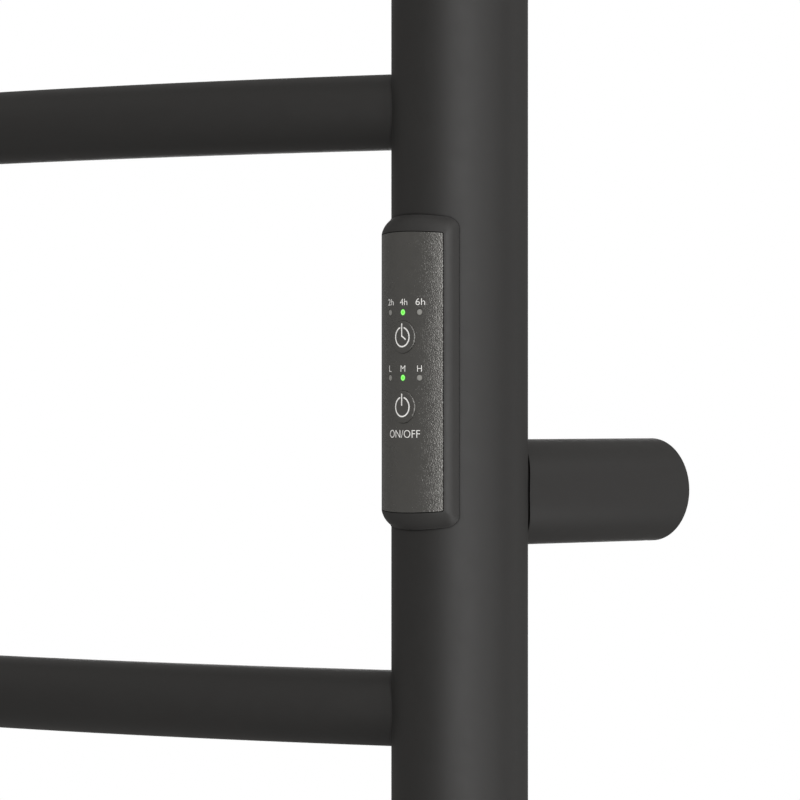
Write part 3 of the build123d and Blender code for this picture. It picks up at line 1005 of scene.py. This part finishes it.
@dataclass
class Caps:
    """Plugs in the ends of the posts.

    Attributes:
        rim: Radius of the rounded rim, in millimetres.
        seat_edge: Width of the eased edge at the post, in millimetres.
        spigot_step: How far the spigot lies inside the rim, in millimetres.
        spigot_wall: Thickness of the spigot, in millimetres.
        gland_hole: Radius of the hole for the cord gland, in millimetres.
        facets: Facets round a cap.
    """

    rim: float = 1.0
    seat_edge: float = 0.2
    spigot_step: float = 1.6
    spigot_wall: float = 2.5
    gland_hole: float = 6.1
    facets: int = 144

    def build(self) -> None:
        """Build the four caps."""
        for level in ("top", "bottom"):
            for side in ("left", "right"):
                self._cap(level, side)

    def _cap(self, level: str, side: str) -> None:
        """Build one cap.

        Args:
            level: "top" or "bottom".
            side: "left" or "right".
        """
        node = f"cap_{level}_{side}"
        low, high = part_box(node)
        post_low, post_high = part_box(f"post_{side}")
        x, y, radius = (low.x + high.x) / 2, (low.y + high.y) / 2, (high.x - low.x) / 2
        up = 1 if level == "top" else -1
        seat = post_high.z if up > 0 else post_low.z
        face = high.z if up > 0 else low.z
        spigot_end = low.z if up > 0 else high.z
        spigot = radius - self.spigot_step * MM
        bore = spigot - self.spigot_wall * MM
        hole = self.gland_hole * MM if (level, side) == ("bottom", "right") else 0.0
        edge = self.seat_edge * MM
        profile = [(bore, seat), (bore, spigot_end), (spigot, spigot_end), (spigot, seat)]
        profile += [(radius - edge, seat), (radius, seat + up * edge)]
        profile += [(radius - inward, face - up * below) for inward, below in quarter_round(self.rim * MM, 6)]
        profile += [(radius * 0.6, face), (max(hole, radius * 0.3), face)]
        if hole:
            profile.append((hole, seat))
        angles = circle_angles(self.facets)
        rings = [level_circle(x, y, z, reach, angles) for reach, z in profile]
        skin = Skin()
        skin.loft(rings)
        if not hole:
            skin.fill(rings[-1])
            skin.fill(rings[0])
        skin.piece(f"{node}_plug", CAP_NYLON, stands_for=(node,), sharp=40)


# ---------------------------------------------------------------- the control


@dataclass(frozen=True)
class Legend:
    """One printed legend, with its lengths in millimetres.

    Attributes:
        words: What it says.
        name: End of its piece's name.
        column: Column of light pipes that it belongs to, from -1 to 1.
        aside: How far it stands to the right of that column.
        rise: Height of its middle above the control's middle.
        height: Height of its capitals.
        width: Its whole width.
    """

    words: str
    name: str
    column: int
    aside: float
    rise: float
    height: float
    width: float


LEGENDS = (
    Legend("2h", "2h", -1, 0.25, 20.28, 1.8, 3.08),
    Legend("4h", "4h", 0, 0.25, 20.28, 1.87, 3.0),
    Legend("6h", "6h", 1, 0.25, 20.28, 1.93, 3.15),
    Legend("L", "L", -1, 0.0, 1.02, 1.8, 1.22),
    Legend("M", "M", 0, 0.0, 1.02, 1.8, 1.87),
    Legend("H", "H", 1, 0.0, 1.02, 1.8, 1.55),
    Legend("ON/OFF", "on_off", 0, 0.0, -17.86, 2.25, 12.6),
)


@dataclass
class Control:
    """The slim control on the right post: housing, label, keys, lenses and legends.

    Lengths are in millimetres. Heights on the face are counted up from the control's middle, and turns round
    the post in degrees from its front.

    Attributes:
        posts: The posts, the right one of which carries it.
        side_round: Radius of the rounded long edges.
        foot_crown: Radius of the crowned ends at the post.
        label_crown: Radius of the crowned ends at the label.
        end_round: Radius that the ends are rounded off to.
        foot_corner: Corner radius at the post.
        foot_gap: Height and depth of the shadow gap at the post.
        lip: Width of the eased edge round the label.
        groove: Width of the groove round the label.
        label_corner: Corner radius of the label.
        label_seat: How far the skin behind the label starts inside the groove.
        film: Thickness of the label.
        skin: Thickness of the housing behind the label.
        key_radius: Radius of a key.
        key_gap: Gap round a key.
        key_raise: How far a key stands proud of the label.
        key_edge: Radius of its softened edge.
        flange_radius: Radius of the flange that holds a key in.
        flange_front: Depth of that flange's front below the label.
        flange_back: Depth of its back.
        stem_radius: Radius of the key's stem.
        lens_radius: Radius of a light pipe.
        lens_gap: Gap round a light pipe.
        lens_edge: Radius of its softened edge.
        lens_step: Turn round the post from one light pipe to the next, in degrees.
        ink: Half of the ink's thickness.
        text_weight: Extra stroke thickness of the lettering, as a share of the letter size.
        symbol_radius: Radius of the rings of the symbols.
        symbol_stroke: Width of their strokes.
        symbol_opening: Half of the opening at the top of a ring, in degrees.
        symbol_bar: Place of the upright bar, sideways from the key's middle.
        strip: Widest strip of a legend that stays flat.
        strips: Strips that a curved sheet is cut in.
        rings: Rings up the housing's flanks.
        corner_ease: Power by which the corner shrinks from the post to the label.
        steps: Points along each end, each side and each corner of a ring.
        sheet_steps: The same for a curved sheet.
        key_facets: Facets round a key.
        lens_facets: Facets round a light pipe.
        key_hole_facets: Facets round the opening for a key.
        lens_hole_facets: Facets round the opening for a light pipe.
    """

    posts: Posts
    side_round: float = 3.0
    foot_crown: float = 75.0
    label_crown: float = 140.0
    end_round: float = 7.0
    foot_corner: float = 2.8
    foot_gap: float = 0.35
    lip: float = 0.06
    groove: float = 0.25
    label_corner: float = 0.45
    label_seat: float = 1.2
    film: float = 0.3
    skin: float = 1.5
    key_radius: float = 4.75
    key_gap: float = 0.05
    key_raise: float = 0.38
    key_edge: float = 0.3
    flange_radius: float = 5.4
    flange_front: float = 2.5
    flange_back: float = 3.3
    stem_radius: float = 2.0
    lens_radius: float = 0.95
    lens_gap: float = 0.05
    lens_edge: float = 0.08
    lens_step: float = 15.2
    ink: float = 0.015
    text_weight: float = -0.01
    symbol_radius: float = 2.78
    symbol_stroke: float = 0.41
    symbol_opening: float = 18.5
    symbol_bar: float = -0.1
    strip: float = 0.4
    strips: int = 36
    rings: int = 20
    corner_ease: float = 0.8
    steps: tuple[int, int, int] = (36, 40, 12)
    sheet_steps: tuple[int, int, int] = (30, 60, 6)
    key_facets: int = 96
    lens_facets: int = 48
    key_hole_facets: int = 64
    lens_hole_facets: int = 32

    def __post_init__(self) -> None:
        """Read the control's place from the frame."""
        self.x, self.y, self.post = self.posts.axis("right")
        low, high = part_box("control_housing")
        self.half_width = (high.x - low.x) / 2
        self.half_length = (high.z - low.z) / 2
        self.z = (high.z + low.z) / 2
        self.face = self.y - low.y
        low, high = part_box("label_plate")
        self.label_half_width = (high.x - low.x) / 2
        self.label_half_length = (high.z - low.z) / 2

    def build(self) -> None:
        """Build every visible piece of the control."""
        self._housing()
        self._label()
        self._keys()
        self._lenses()
        self._legends()

    def _middle(self, node: str) -> FlatPoint:
        """Place of a node's middle from the control's, seen from the front, in metres."""
        low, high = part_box(node)
        return ((low.x + high.x) / 2 - self.x, (low.z + high.z) / 2 - self.z)

    def on_post(self, x: float, z: float, radius: float) -> Point:
        """Place a point seen from the front on a drum round the post's axis.

        Args:
            x: Sideways from the post's axis, in metres.
            z: Up from the control's middle, in metres.
            radius: Radius of the drum, in metres.

        Returns:
            The point in the row frame.
        """
        return (self.x + x, self.y - math.sqrt(max(0.0, radius * radius - x * x)), self.z + z)

    def wrapped(self, along: float, z: float, radius: float) -> Point:
        """Place a printed point, wrapped round the post.

        Args:
            along: Length round the drum from the front, in metres.
            z: Up from the control's middle, in metres.
            radius: Radius of the drum, in metres.

        Returns:
            The point in the row frame.
        """
        turn = along / radius
        return (self.x + radius * math.sin(turn), self.y - radius * math.cos(turn), self.z + z)

    def _facing_circle(self, x: float, z: float, y: float, reach: float, count: int) -> Ring:
        """Flat circle that faces the room."""
        x, z = self.x + x, self.z + z
        return [(x + reach * math.cos(a), y, z + reach * math.sin(a)) for a in circle_angles(count)]

    def _drum_circle(self, x: float, z: float, radius: float, reach: float, count: int) -> Ring:
        """Circle laid on a drum round the post's axis."""
        turns = circle_angles(count)
        return [self.on_post(x + reach * math.cos(a), z + reach * math.sin(a), radius) for a in turns]

    def _crowned(self, x: float, z: float, half_length: float, share: float = 1.0) -> float:
        """Pull a point of an outline back to the crowned end.

        Args:
            x: Sideways from the post's axis, in metres.
            z: Up from the control's middle, in metres, as if the ends were straight.
            half_length: Half of the outline's length at its middle, in metres.
            share: How far up the outline lies, from 0 at the post to 1 at the label.

        Returns:
            Height of the point with its end crowned, in metres.
        """
        drop = 0.0
        for crown, weight in ((self.foot_crown * MM, 1 - share), (self.label_crown * MM, share)):
            drop += weight * (crown - math.sqrt(crown**2 - x * x))
        return z * (half_length - drop) / half_length

    def _side_curve(self) -> list[FlatPoint]:
        """Section of the long side from the post up to the label's recess.

        Returns:
            Half width and radius about the post's axis along the section, in metres.
        """
        side = self.side_round * MM
        edge_x = self.half_width - side
        depth = math.sqrt((self.face - side) ** 2 - edge_x**2)
        foot = math.sqrt(self.post**2 - self.half_width**2)
        limit = self.label_half_width + self.groove * MM
        points = [(self.half_width, foot + (depth - foot) * n / 6) for n in range(6)]
        for n in range(15):
            turn = math.pi / 2 + (math.atan2(edge_x, depth) - math.pi / 2) * n / 14
            points.append((edge_x + side * math.sin(turn), depth + side * math.cos(turn)))
        shoulder = points[-1][0]
        for n in range(1, 4):
            x = shoulder + (limit - shoulder) * n / 3
            points.append((x, math.sqrt(self.face**2 - x**2)))
        return [(x, math.hypot(x, d)) for x, d in points]

    def _end_curve(self) -> list[FlatPoint]:
        """Section of a rounded-off end from the post up to the label's recess.

        Returns:
            Half length and radius about the post's axis along the section, in metres.
        """
        bend = self.end_round * MM
        rise = self.face - self.post
        run = math.sqrt(bend**2 - (bend - rise) ** 2)
        limit = self.label_half_length + self.groove * MM
        low = math.asin((limit - (self.half_length - run)) / bend)
        high = math.asin(run / bend)
        points = []
        for n in range(25):
            turn = high + (low - high) * n / 24
            along = self.half_length - run + bend * math.sin(turn)
            points.append((along, self.face - bend * (1 - math.cos(turn))))
        return points

    def _ring(
        self,
        side: FlatPoint,
        end: FlatPoint,
        corner: float,
        share: float = 1.0,
        sink: float = 0.0,
    ) -> Ring:
        """Ring round the housing, on its side section along the sides and its end section at the ends.

        Args:
            side: Half width and radius on the side section.
            end: Half length and radius on the end section.
            corner: Corner radius.
            share: How far up the ring lies, from 0 at the post to 1 at the label.
            sink: How far the ring is sunk towards the post.

        Returns:
            Points of the ring.
        """
        outline = rounded_rectangle(side[0], end[0], corner, self.steps)
        ring = []
        for x, z in outline:
            past_x = min(1.0, max(0.0, (abs(x) - (side[0] - corner)) / corner))
            past_z = min(1.0, max(0.0, (abs(z) - (end[0] - corner)) / corner))
            blend = past_x**2 / max(1e-9, past_x**2 + past_z**2)
            radius = end[1] + (side[1] - end[1]) * blend - sink
            ring.append(self.on_post(x, self._crowned(x, z, end[0], share), radius))
        return ring

    def _housing(self) -> None:
        """Build the housing: rounded flanks, label recess and the skin behind the label."""
        skin = Skin()
        sides, ends = self._resampled(self._side_curve()), self._resampled(self._end_curve())
        inner_corner = self.label_corner + self.groove
        gap = self.foot_gap * MM
        lifted = self.post + gap
        foot_x, foot_z, foot = sides[0][0] - gap, ends[0][0] - gap, self.foot_corner * MM
        rings = [
            self._ring((foot_x, self.post), (foot_z, self.post), foot - gap, 0.0),
            self._ring((foot_x, lifted), (foot_z, lifted), foot, 0.0),
        ]
        for n, (side, end) in enumerate(zip(sides, ends)):
            share = n / (len(sides) - 1)
            eased = share**self.corner_ease
            corner = (self.foot_corner + (inner_corner - self.foot_corner) * eased) * MM
            on_side, on_end = (side[0], max(side[1], lifted)), (end[0], max(end[1], lifted))
            rings.append(self._ring(on_side, on_end, corner, share))
        lip, inset, floor = self.lip * MM, self.label_seat * MM, self.face - self.film * MM
        (side_x, side_radius), (end_z, end_radius) = sides[-1], ends[-1]
        recess, seat = inner_corner * MM, self.label_corner * MM
        rings += [
            self._ring((side_x - lip, side_radius), (end_z - lip, end_radius), recess, sink=lip),
            self._ring((side_x - lip, floor), (end_z - lip, floor), recess),
            self._ring((side_x - inset, floor), (end_z - inset, floor), seat),
        ]
        skin.loft(rings)
        skin.absorb(self._sheet(side_x - inset, end_z - inset, seat, floor, self.skin))
        skin.piece("control_housing_shell", HOUSING_COAT, stands_for=("control_housing",), sharp=32)

    def _resampled(self, curve: list[FlatPoint]) -> list[FlatPoint]:
        """Walk a section in even steps.

        Args:
            curve: Points of the section.

        Returns:
            Evenly spaced points from its first to its last.
        """
        lengths = [0.0]
        for a, b in zip(curve, curve[1:]):
            lengths.append(lengths[-1] + math.hypot(b[0] - a[0], b[1] - a[1]))
        walked = []
        for n in range(self.rings):
            target = lengths[-1] * n / (self.rings - 1)
            k = max(i for i in range(len(lengths) - 1) if lengths[i] <= target + 1e-12)
            share = (target - lengths[k]) / max(1e-12, lengths[k + 1] - lengths[k])
            walked.append(tuple(curve[k][i] + (curve[k + 1][i] - curve[k][i]) * share for i in (0, 1)))
        return walked

    def _holes(self) -> list[tuple[float, float, float, int]]:
        """List the openings for keys and lenses, seen from the front.

        Returns:
            Each opening's centre and radius, in metres, and its number of facets.
        """
        key, lens = (self.key_radius + self.key_gap) * MM, (self.lens_radius + self.lens_gap) * MM
        keys = [(0.0, self._middle(node)[1], key, self.key_hole_facets) for node in KEYS]
        return keys + [(*self._middle(node), lens, self.lens_hole_facets) for node in LENSES]

    def _sheet(
        self, half_width: float, half_length: float, corner: float, radius: float, thickness: float
    ) -> bmesh.types.BMesh:
        """Curved sheet on the post with openings for keys and lenses.

        Args:
            half_width: Half of its width, in metres.
            half_length: Half of its height, in metres.
            corner: Corner radius, in metres.
            radius: Radius of its front, in metres.
            thickness: Its thickness, in millimetres.

        Returns:
            The sheet in the row frame.
        """
        outline = rounded_rectangle(half_width, half_length, corner, self.sheet_steps)
        loops = [[(x, self._crowned(x, z, half_length)) for x, z in outline]]
        for x, z, reach, count in self._holes():
            loops.append([(x + reach * math.cos(a), z + reach * math.sin(a)) for a in circle_angles(count)])
        flat = flat_shape(loops)
        cut_in_strips(flat, half_width, self.strips)
        return self._thicken(flat, self.on_post, radius, radius - thickness * MM)

    def _thicken(
        self,
        flat: bmesh.types.BMesh,
        place: Callable[[float, float, float], Point],
        outer: float,
        inner: float,
    ) -> bmesh.types.BMesh:
        """Give a flat shape a front, a back and edges, placed on the post.

        Args:
            flat: The shape in the XZ plane. It is freed.
            place: Where a flat point goes at a given radius.
            outer: Radius of the front.
            inner: Radius of the back.

        Returns:
            The closed solid.
        """
        solid = bmesh.new()
        flat.verts.index_update()
        front = [solid.verts.new(place(v.co.x, v.co.z, outer)) for v in flat.verts]
        back = [solid.verts.new(place(v.co.x, v.co.z, inner)) for v in flat.verts]
        for face in flat.faces:
            indices = [v.index for v in face.verts]
            solid.faces.new([front[i] for i in indices])
            solid.faces.new([back[i] for i in reversed(indices)])
        for edge in flat.edges:
            if len(edge.link_faces) == 1:
                a, b = (v.index for v in edge.verts)
                solid.faces.new((front[a], front[b], back[b], back[a]))
        flat.free()
        return solid

    def _label(self) -> None:
        """Build the label plate with its softened edge."""
        corner = self.label_corner * MM
        skin = Skin()
        skin.absorb(self._sheet(self.label_half_width, self.label_half_length, corner, self.face, self.film))
        skin.piece("label_plate_film", FILM, stands_for=("label_plate",), sharp=40, bevel=0.05)

    def _keys(self) -> None:
        """Build the two round keys, each riding on its own body."""
        reach, edge, facets = self.key_radius * MM, self.key_edge * MM, self.key_facets
        flange, stem = self.flange_radius * MM, self.stem_radius * MM
        top = self.face + self.key_raise * MM
        front_y = self.y - (self.face - self.flange_front * MM)
        back_y = self.y - (self.face - self.flange_back * MM)
        for node in KEYS:
            z = self._middle(node)[1]
            stem_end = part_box(node)[1].y
            rings = [self._facing_circle(0.0, z, front_y, reach, facets)]
            for inward, below in quarter_round(edge, 6):
                rings.append(self._drum_circle(0.0, z, top - below, reach - inward, facets))
            for n in range(1, 12):
                rings.append(self._drum_circle(0.0, z, top, (reach - edge) * (1 - n / 12), facets))
            skin = Skin()
            skin.loft(rings)
            skin.fill(rings[-1])
            behind = ((front_y, flange), (back_y, flange), (back_y, stem), (stem_end, stem))
            skin.loft([rings[0]] + [self._facing_circle(0.0, z, y, wide, facets) for y, wide in behind])
            skin.piece(f"{node}_key", KEY_TOP, node, (node,), sharp=40)

    def _lenses(self) -> None:
        """Build the six light pipes."""
        reach, edge, facets = self.lens_radius * MM, self.lens_edge * MM, self.lens_facets
        for node, finish in LENSES.items():
            x, z = self._middle(node)
            rings = [self._facing_circle(x, z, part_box(node)[1].y, reach, facets)]
            for inward, below in quarter_round(edge, 4):
                rings.append(self._drum_circle(x, z, self.face - below, reach - inward, facets))
            for share in (0.75, 0.5, 0.25):
                rings.append(self._drum_circle(x, z, self.face, (reach - edge) * share, facets))
            skin = Skin()
            skin.loft(rings)
            skin.fill(rings[-1])
            skin.fill(rings[0])
            skin.piece(f"{node}_pipe", finish, stands_for=(node,), sharp=45)

    # ------------------------------------------------------------ printed legends

    def _print(
        self,
        name: str,
        flat: bmesh.types.BMesh,
        along: float,
        rise: float,
        radius: float,
        body: str = FRAME_BODY,
    ) -> None:
        """Print a flat shape on the control.

        Args:
            name: Name of the piece.
            flat: The shape in the XZ plane, about its own middle. It is freed.
            along: Length round the post to its middle, in metres.
            rise: Height of its middle, in metres.
            radius: Radius of the surface that it lies on, in metres.
            body: CAD body that it rides on.
        """
        width = max(abs(v.co.x) for v in flat.verts)
        cut_in_strips(flat, width, max(2, int(2 * width / (self.strip * MM))))
        ink = self.ink * MM
        solid = self._thicken(
            flat, lambda x, z, r: self.wrapped(x + along, z + rise, r), radius + ink, radius - ink
        )
        skin = Skin()
        skin.absorb(solid)
        skin.piece(name, WHITE_INK, body, sharp=40)

    def _text(self, words: str, height: float, width: float) -> bmesh.types.BMesh:
        """Flat lettering of a given size.

        Args:
            words: What it says.
            height: Height of its capitals, in metres.
            width: Its whole width, in metres.

        Returns:
            The lettering in the XZ plane, about its own middle.
        """
        curve = bpy.data.curves.new("legend", "FONT")
        curve.body = words
        curve.size = 1.0
        curve.offset = self.text_weight
        curve.resolution_u = 4
        holder = put_in_scene("legend", curve)
        mesh = baked_mesh(holder)
        bpy.data.objects.remove(holder)
        flat = bmesh.new()
        flat.from_mesh(mesh)
        bmesh.ops.remove_doubles(flat, verts=flat.verts, dist=1e-5)
        xs = [v.co.x for v in flat.verts]
        ys = [v.co.y for v in flat.verts]
        scale_x = width / (max(xs) - min(xs))
        scale_z = height / (max(ys) - min(ys))
        middle_x, middle_y = (max(xs) + min(xs)) / 2, (max(ys) + min(ys)) / 2
        for v in flat.verts:
            v.co = Vector(((v.co.x - middle_x) * scale_x, 0.0, (v.co.y - middle_y) * scale_z))
        return flat

    def _stroke(self, path: Sequence[FlatPoint], weight: float) -> bmesh.types.BMesh:
        """Flat stroke with round ends along a path.

        Args:
            path: Points of the path, in millimetres.
            weight: Width of the stroke, in millimetres.

        Returns:
            The stroke in the XZ plane.
        """
        half = weight / 2
        left, right = [], []
        count = len(path)
        for n in range(count):
            before = path[max(0, n - 1)]
            after = path[min(count - 1, n + 1)]
            dx, dz = after[0] - before[0], after[1] - before[1]
            length = math.hypot(dx, dz)
            nx, nz = -dz / length, dx / length
            left.append((path[n][0] + nx * half, path[n][1] + nz * half))
            right.append((path[n][0] - nx * half, path[n][1] - nz * half))

        def round_end(tip: FlatPoint, before: FlatPoint) -> list[FlatPoint]:
            """Points round one end of the stroke.

            Args:
                tip: The path's last point at that end.
                before: The point before it.

            Returns:
                Points from one side to the other.
            """
            heading = math.atan2(tip[1] - before[1], tip[0] - before[0])
            turns = [heading + math.radians(-75 + 15 * n) for n in range(11)]
            return [(tip[0] + half * math.cos(t), tip[1] + half * math.sin(t)) for t in turns]

        outline = right + round_end(path[-1], path[-2]) + left[::-1] + round_end(path[0], path[1])
        return flat_shape([[(x * MM, z * MM) for x, z in outline]])

    def _legends(self) -> None:
        """Print the legends and the two symbols."""
        step = math.radians(self.lens_step) * self.face
        for legend in LEGENDS:
            flat = self._text(legend.words, legend.height * MM, legend.width * MM)
            along = legend.column * step + legend.aside * MM
            self._print(f"legend_{legend.name}", flat, along, legend.rise * MM, self.face)
        key_face = self.face + self.key_raise * MM
        opening = math.radians(self.symbol_opening)
        turns = [opening + (2 * math.pi - 2 * opening) * n / 60 for n in range(61)]
        ring = [(self.symbol_radius * math.sin(t), self.symbol_radius * math.cos(t)) for t in turns]
        bar = self.symbol_bar
        for name, strokes in (
            ("timer", (ring, [(bar, 3.75), (bar, 0.2)], [(bar, 0.35), (0.6, -0.15), (1.35, -0.66)])),
            ("power", (ring, [(bar, 3.65), (bar, 0.5)])),
        ):
            key = f"{name}_button"
            rise = self._middle(key)[1]
            for n, path in enumerate(strokes):
                flat = self._stroke(path, self.symbol_stroke)
                self._print(f"legend_{name}_{n}", flat, 0.0, rise, key_face, key)


# ---------------------------------------------------------------- carried-over pieces


def dress_cad_nodes() -> None:
    """Give every CAD node still shown the finish of its slot."""
    slots = {s["node"]: s["material_slot"] for s in frame["record"]["subparts"]}
    for name, node in frame["nodes"].items():
        if node.hide_render:
            continue
        finish = CARRIED_OVER[Slot(slots[name])]
        node.data.materials.clear()
        node.data.materials.append(finish.material())
        LOG.info("%s: CAD piece in %s", name, finish.name)


# ---------------------------------------------------------------- studio


@dataclass(frozen=True)
class Softbox:
    """A soft rectangular light.

    Attributes:
        name: Name of the light.
        azimuth: Direction from the object, in degrees from the front towards +X.
        elevation: Height above the horizon, in degrees.
        distance: Distance from the object, in metres.
        width: Width of the light, in metres.
        height: Height of the light, in metres.
        power: Power, in watts.
        colour: sRGB hex of its light.
    """

    name: str
    azimuth: float
    elevation: float
    distance: float
    width: float
    height: float
    power: float
    colour: str = "#ffffff"


@dataclass
class Studio:
    """Camera, floor, lights and surroundings.

    Attributes:
        azimuth: Direction of the camera from the right post, in degrees from the front towards +X.
        distance: Distance along the view to the right post's axis, in metres.
        aside: How far the post's axis lies right of the view's middle, in metres.
        height: Height of the camera in the row frame, in metres.
        lens: Focal length, in millimetres.
        shift: Vertical shift of the view.
        floor_z: Height of the floor, in metres.
        floor_radius: Radius of the floor, in metres.
        floor_fade: Shares of that radius where the floor starts and ends to fade out.
        floor_tone: Darkest and lightest grey of the floor, linear.
        ambient: Strength of the room's light from the horizon and from above.
        boxes: The soft lights.
    """

    azimuth: float = 46.03
    distance: float = 1.3249
    aside: float = 0.01745
    height: float = -0.3485
    lens: float = 203.8
    shift: float = 0.003
    floor_z: float = -0.95
    floor_radius: float = 2.35
    floor_fade: tuple[float, float] = (0.25, 0.95)
    floor_tone: tuple[float, float] = (0.86, 0.9)
    ambient: tuple[float, float] = (0.232, 0.375)
    boxes: tuple[Softbox, ...] = (
        Softbox("key_left_softbox", 32.0, 0.0, 2.4, 0.8, 1.8, 8.0),
        Softbox("key_softbox", 54.0, 0.0, 2.4, 0.8, 1.8, 13.0),
        Softbox("key_right_softbox", 76.0, 0.0, 2.4, 0.8, 1.8, 6.3),
        Softbox("side_softbox", 100.0, 0.0, 2.4, 0.8, 1.8, 4.7),
        Softbox("rim_softbox", 150.0, 0.0, 2.4, 0.8, 1.8, 2.6),
        Softbox("front_top_softbox", 46.0, 45.0, 2.4, 1.6, 1.0, 8.4),
        Softbox("side_top_softbox", 125.0, 45.0, 2.4, 1.6, 1.0, 3.7),
        Softbox("side_low_softbox", 110.0, -45.0, 2.4, 1.6, 1.0, 11.6),
        Softbox("back_softbox", 226.0, 0.0, 2.4, 0.7, 1.6, 9.0),
    )

    def build(self, posts: Posts) -> None:
        """Set up camera, floor, lights and world.

        Args:
            posts: The posts that the camera is placed from.
        """
        x, y, _ = posts.axis("right")
        turn = math.radians(self.azimuth)
        forward = Vector((-math.sin(turn), math.cos(turn), 0.0))
        right = Vector((math.cos(turn), math.sin(turn), 0.0))
        place = Vector((x, y, 0.0)) - forward * self.distance - right * self.aside
        place.z = self.height
        data = bpy.data.cameras.new("camera")
        data.lens = self.lens
        data.sensor_width = 36.0
        data.shift_y = self.shift
        data.clip_start = 0.05
        data.clip_end = 60.0
        camera = put_in_scene("camera", data)
        camera.location = place
        camera.rotation_euler = (math.pi / 2, 0.0, turn)
        bpy.context.scene.camera = camera
        self._world()
        self._floor()
        target = Vector((x, y, self.height))
        for box in self.boxes:
            self._softbox(box, target)

    def _softbox(self, box: Softbox, target: Vector) -> None:
        """Hang one soft light.

        Args:
            box: The light.
            target: Point that it faces.
        """
        data = bpy.data.lights.new(box.name, "AREA")
        data.shape = "RECTANGLE"
        data.size = box.width
        data.size_y = box.height
        data.energy = box.power
        data.color = hex_linear(box.colour)[:3]
        light = put_in_scene(box.name, data)
        a, e = math.radians(box.azimuth), math.radians(box.elevation)
        back = Vector((math.sin(a) * math.cos(e), -math.cos(a) * math.cos(e), math.sin(e)))
        light.location = target + back * box.distance
        light.rotation_euler = back.to_track_quat("Z", "Y").to_euler()
        light.visible_camera = False

    def _floor(self) -> None:
        """Lay the pale floor, fading out at its rim."""
        skin = Skin()
        angles, reach = circle_angles(96), self.floor_radius
        rings = [level_circle(0.0, 0.0, self.floor_z, reach * n / 24, angles) for n in range(1, 25)]
        skin.loft(rings)
        skin.fill(rings[0])
        mesh = bpy.data.meshes.new("floor")
        mesh.from_pydata(skin.points, [], skin.faces)
        floor = put_in_scene("floor", mesh)
        made = bpy.data.materials.new("floor_matte_paint")
        made.use_nodes = True
        tree = made.node_tree
        tree.nodes.clear()
        place = add_node(tree, "ShaderNodeTexCoord").outputs["Object"]
        length = add_node(tree, "ShaderNodeVectorMath", {"operation": "LENGTH"}, {"Vector": place})
        start, end = self.floor_fade
        edges = (self.floor_radius * start, self.floor_radius * end)
        fade = map_range(tree, length.outputs["Value"], edges, (1.0, 0.0))
        speckle = add_node(tree, "ShaderNodeTexNoise", {"Scale": 40.0, "Detail": 3.0}, {"Vector": place})
        tone = map_range(tree, speckle.outputs["Fac"], (0.0, 1.0), self.floor_tone)
        shader = add_node(
            tree,
            "ShaderNodeBsdfPrincipled",
            {"Roughness": 0.85, "Specular IOR Level": 0.2},
            {"Base Color": tone, "Alpha": fade},
        )
        add_node(tree, "ShaderNodeOutputMaterial", links={"Surface": shader.outputs["BSDF"]})
        mesh.materials.append(made)
        floor.visible_diffuse = False
        floor.visible_glossy = False
        floor.visible_shadow = False

    def _world(self) -> None:
        """Surround the object with a white room that lights it softly and unevenly."""
        world = bpy.data.worlds.new("white_studio")
        bpy.context.scene.world = world
        world.use_nodes = True
        tree = world.node_tree
        tree.nodes.clear()
        direction = add_node(tree, "ShaderNodeTexCoord").outputs["Generated"]
        height = add_node(tree, "ShaderNodeSeparateXYZ", links={"Vector": direction}).outputs["Z"]
        glow = map_range(tree, height, (0.0, 1.0), self.ambient)
        ambient = add_node(
            tree, "ShaderNodeBackground", {"Color": hex_linear("#fffdfa")}, {"Strength": glow}
        ).outputs["Background"]
        backdrop = add_node(
            tree, "ShaderNodeBackground", {"Color": hex_linear("#ffffff"), "Strength": 1.0}
        ).outputs["Background"]
        seen = add_node(tree, "ShaderNodeLightPath").outputs["Is Camera Ray"]
        mixed = add_node(tree, "ShaderNodeMixShader", links={0: seen, 1: ambient, 2: backdrop})
        add_node(tree, "ShaderNodeOutputWorld", links={"Surface": mixed.outputs["Shader"]})
        bpy.context.scene.view_settings.view_transform = "Standard"


def main() -> None:
    """Build the towel warmer's looks in order."""
    logging.basicConfig(level=logging.INFO, format="%(name)s %(message)s")
    posts = Posts()
    Studio().build(posts)
    posts.build()
    Bars(posts).build()
    Standoffs(posts).build()
    Caps().build()
    Control(posts).build()
    dress_cad_nodes()


if __name__ == "__main__":
    main()
